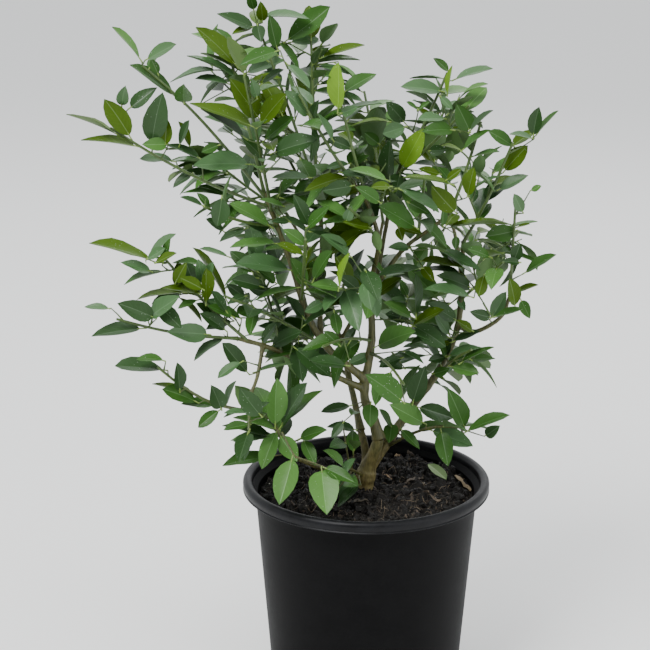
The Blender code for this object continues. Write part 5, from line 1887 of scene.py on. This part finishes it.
STREW = build_strew()
CRUMBS = {
    "mix_crumbs": (90000, 1, (0.5, 0.5, 0.4), (1.7, 1.4, 1.2), 1, 1.6,
                   ((0.0010, 0.0009, 0.0007), (0.0110, 0.0088, 0.0068), 300, 2.8, 0.58, 0.3, 0.3, 0.24)),
    "mix_clods": (9500, 2, (1.8, 1.6, 1.2), (5.0, 4.2, 3.2), 2, 4.4,
                  ((0.0010, 0.0009, 0.0007), (0.0095, 0.0077, 0.0060), 240, 2.8, 0.60, 0.3, 0.5, 0.24)),
    "bark_chips": (4200, 3, (1.8, 1.0, 0.4), (4.6, 2.2, 0.8), 1, 1.2,
                   ((0.010, 0.008, 0.006), (0.110, 0.080, 0.055), 200, 2.0, 0.75, 0.2, 0.3)),
    "pale_grains": (1200, 4, (0.4, 0.4, 0.4), (0.9, 0.9, 0.7), 1, 0.6,
                    ((0.35, 0.32, 0.26), (0.62, 0.60, 0.54), 200, 1.5, 0.80, 0.2, 0.1)),
}


def strew_crumbs():
    for name, (density, seed, least, most, detail, rugged, finish) in CRUMBS.items():
        draft = drafted(name, MIX.data.copy())
        run_tree(draft, STREW, {"Per Square Metre": float(density), "Seed": seed,
                                "Least": [v * MM for v in least], "Most": [v * MM for v in most],
                                "Detail": detail, "Ruggedness": rugged * MM,
                                "Finish": mottled(name, *finish)})
        finish_piece(draft)


strew_crumbs()

# %% [markdown]
# ## What lies on the mix
# Coir fibres, a few flakes of bark and one fallen leaf lie on the surface. The fibres are curling
# lines swept by the tube tree. The flat things are small bent sheets that follow the surface,
# because a straight one would either hang in the air or cut through the lumps.

# %% Fibres
FIBRES = 700
PALE_FIBRES = 110
FIBRE_LENGTHS = (6, 22)
FIBRE_WIDTHS = (0.10, 0.26)
FIBRE_POINTS = 7
MIX_REACH = 92


def fibre_line(rng):
    """A curling line over the surface, sometimes with an end that stands up."""
    out, angle = MIX_REACH * math.sqrt(rng.random()), rng.uniform(0, TAU)
    x, y = out * math.cos(angle), out * math.sin(angle)
    heading, curl = rng.uniform(0, TAU), rng.uniform(-0.5, 0.5)
    step = rng.uniform(*FIBRE_LENGTHS) / FIBRE_POINTS
    width, lift = rng.uniform(*FIBRE_WIDTHS), rng.uniform(0, 0.5)
    line = []
    for i in range(FIBRE_POINTS + 1):
        if math.hypot(x, y) < MIX_REACH + 2:
            height = mix_height(x, y) + 0.3 + lift * i * rng.uniform(0.2, 1.0)
            line.append((Vector((x, y, height)) * MM, width * MM * (1 if i < FIBRE_POINTS else 0.3)))
        x, y = x + step * math.cos(heading), y + step * math.sin(heading)
        heading += curl + rng.uniform(-0.3, 0.3)
    return line


def make_fibres():
    rng = random.Random(77)
    lines = [line for line in (fibre_line(rng) for _ in range(FIBRES)) if len(line) > 2]
    dark = mottled("dark_coir", (0.006, 0.0045, 0.003), (0.060, 0.045, 0.030), 90, 3.0, 0.72, 0.2, 0.05)
    pale = mottled("pale_coir", (0.070, 0.050, 0.030), (0.260, 0.200, 0.130), 90, 3.0, 0.72, 0.2, 0.05)
    finish_piece(swept("dark_fibres", lines[PALE_FIBRES:], 4, dark))
    finish_piece(swept("pale_fibres", lines[:PALE_FIBRES], 4, pale))


make_fibres()


# %% Flat things
FLAKES = {
    "tan_flake": ((81.1, 32.1), (94.3, 7.9), 2.6, (0.16, 0.115, 0.065), (0.30, 0.23, 0.14)),
    "grey_bark_piece": ((-15.6, -35), (1.9, -27.6), 4.4, (0.030, 0.024, 0.016), (0.115, 0.095, 0.065)),
    "tan_chip_middle": ((16.5, 29.5), (23.5, 26.5), 1.7, (0.22, 0.14, 0.08), (0.40, 0.29, 0.18)),
    "tan_chip_back": ((26.5, 78), (31.5, 75.5), 1.4, (0.22, 0.15, 0.09), (0.36, 0.27, 0.17)),
    "brown_strip": ((50.5, -12), (66, -24), 1.8, (0.040, 0.028, 0.018), (0.140, 0.105, 0.070)),
    "dark_strip": ((36, 10), (52, 22), 2.2, (0.020, 0.015, 0.010), (0.090, 0.068, 0.048)),
}
FLAKE_ROWS = 9


def top_near(x, y, reach):
    """The highest place of the mix round here, for what lies across its lumps."""
    spokes = [(x + reach * math.cos(k * TAU / 6), y + reach * math.sin(k * TAU / 6)) for k in range(6)]
    return max(mix_height(*place) for place in [(x, y)] + spokes)


def flake_mesh(name, start, end, half, thickness=0.5, point=0.7):
    """A bent sheet with ragged edges along the surface from start to end, in millimetres."""
    rng = random.Random(name)
    start, end = Vector((*start, 0)), Vector((*end, 0))
    along = (end - start).normalized()
    side = Vector((-along.y, along.x, 0))
    places, faces = [], []
    for i in range(FLAKE_ROWS + 1):
        t = i / FLAKE_ROWS
        middle = start.lerp(end, t)
        width = half * max(0.12, math.sin(math.pi * (0.06 + 0.88 * t)) ** point)
        for hand in (-1, 0, 1):
            place = middle + side * hand * width * rng.uniform(0.88, 1.1)
            place.z = top_near(place.x, place.y, 2.5) + 0.7 + 0.5 * abs(hand)
            places += [place, place - UP * thickness]
    for i in range(FLAKE_ROWS):
        a, b = 6 * i, 6 * (i + 1)
        for left, right in ((0, 2), (2, 4), (5, 3), (3, 1), (1, 0), (4, 5)):
            faces.append((a + left, b + left, b + right, a + right))
    faces += [(0, 2, 4, 5, 3, 1), tuple(6 * FLAKE_ROWS + k for k in (1, 3, 5, 4, 2, 0))]
    mesh = bpy.data.meshes.new(name)
    mesh.from_pydata([place * MM for place in places], [], faces)
    bm = bmesh.new()
    bm.from_mesh(mesh)
    bmesh.ops.recalc_face_normals(bm, faces=bm.faces)
    bm.to_mesh(mesh)
    bm.free()
    mesh.shade_smooth()
    mesh.set_sharp_from_angle(angle=math.radians(45))
    return mesh


def make_flakes():
    for name, (start, end, half, dark, light) in FLAKES.items():
        mesh = flake_mesh(name, start, end, half)
        mesh.materials.append(mottled(name, dark, light, 160, 2.6, 0.8, 0.2, 0.3))
        new_piece(name, mesh)


make_flakes()


# %% The fallen leaf
def make_fallen_leaf():
    """A leaf of the same shape as the others, with its pale side up, that rests on the lumps."""
    start, end = Vector((55, 50, 0)), Vector((74, 17, 0))
    bed = sorted(top_near(*start.lerp(end, k / 8).xy, 5) for k in range(9))
    start.z, end.z = bed[-1] + 4.5, bed[-1] + 3.0
    along = (end - start).normalized()
    face = Vector((-0.10, -0.22, 1))
    face = (face - along * face.dot(along)).normalized()
    leaf = Leaf(start * MM, along, face, (end - start).length * MM, 0.05, 0, 0.30)
    blades = Blades()
    blades.add(leaf, random.Random(5))
    pale, rib = (0.120, 0.205, 0.060), (0.20, 0.29, 0.11)
    finishes = [leaf_finish("fallen_leaf_top", pale, (0.145, 0.23, 0.08), rib, 0.12, 0.55, 0.05),
                plain_material("fallen_leaf_rib", rib, 0.5),
                leaf_finish("fallen_leaf_under", pale, pale, rib, 0.2, 0.6, 0.05)]
    new_piece("fallen_leaf", blades.mesh("fallen_leaf", finishes))


make_fallen_leaf()
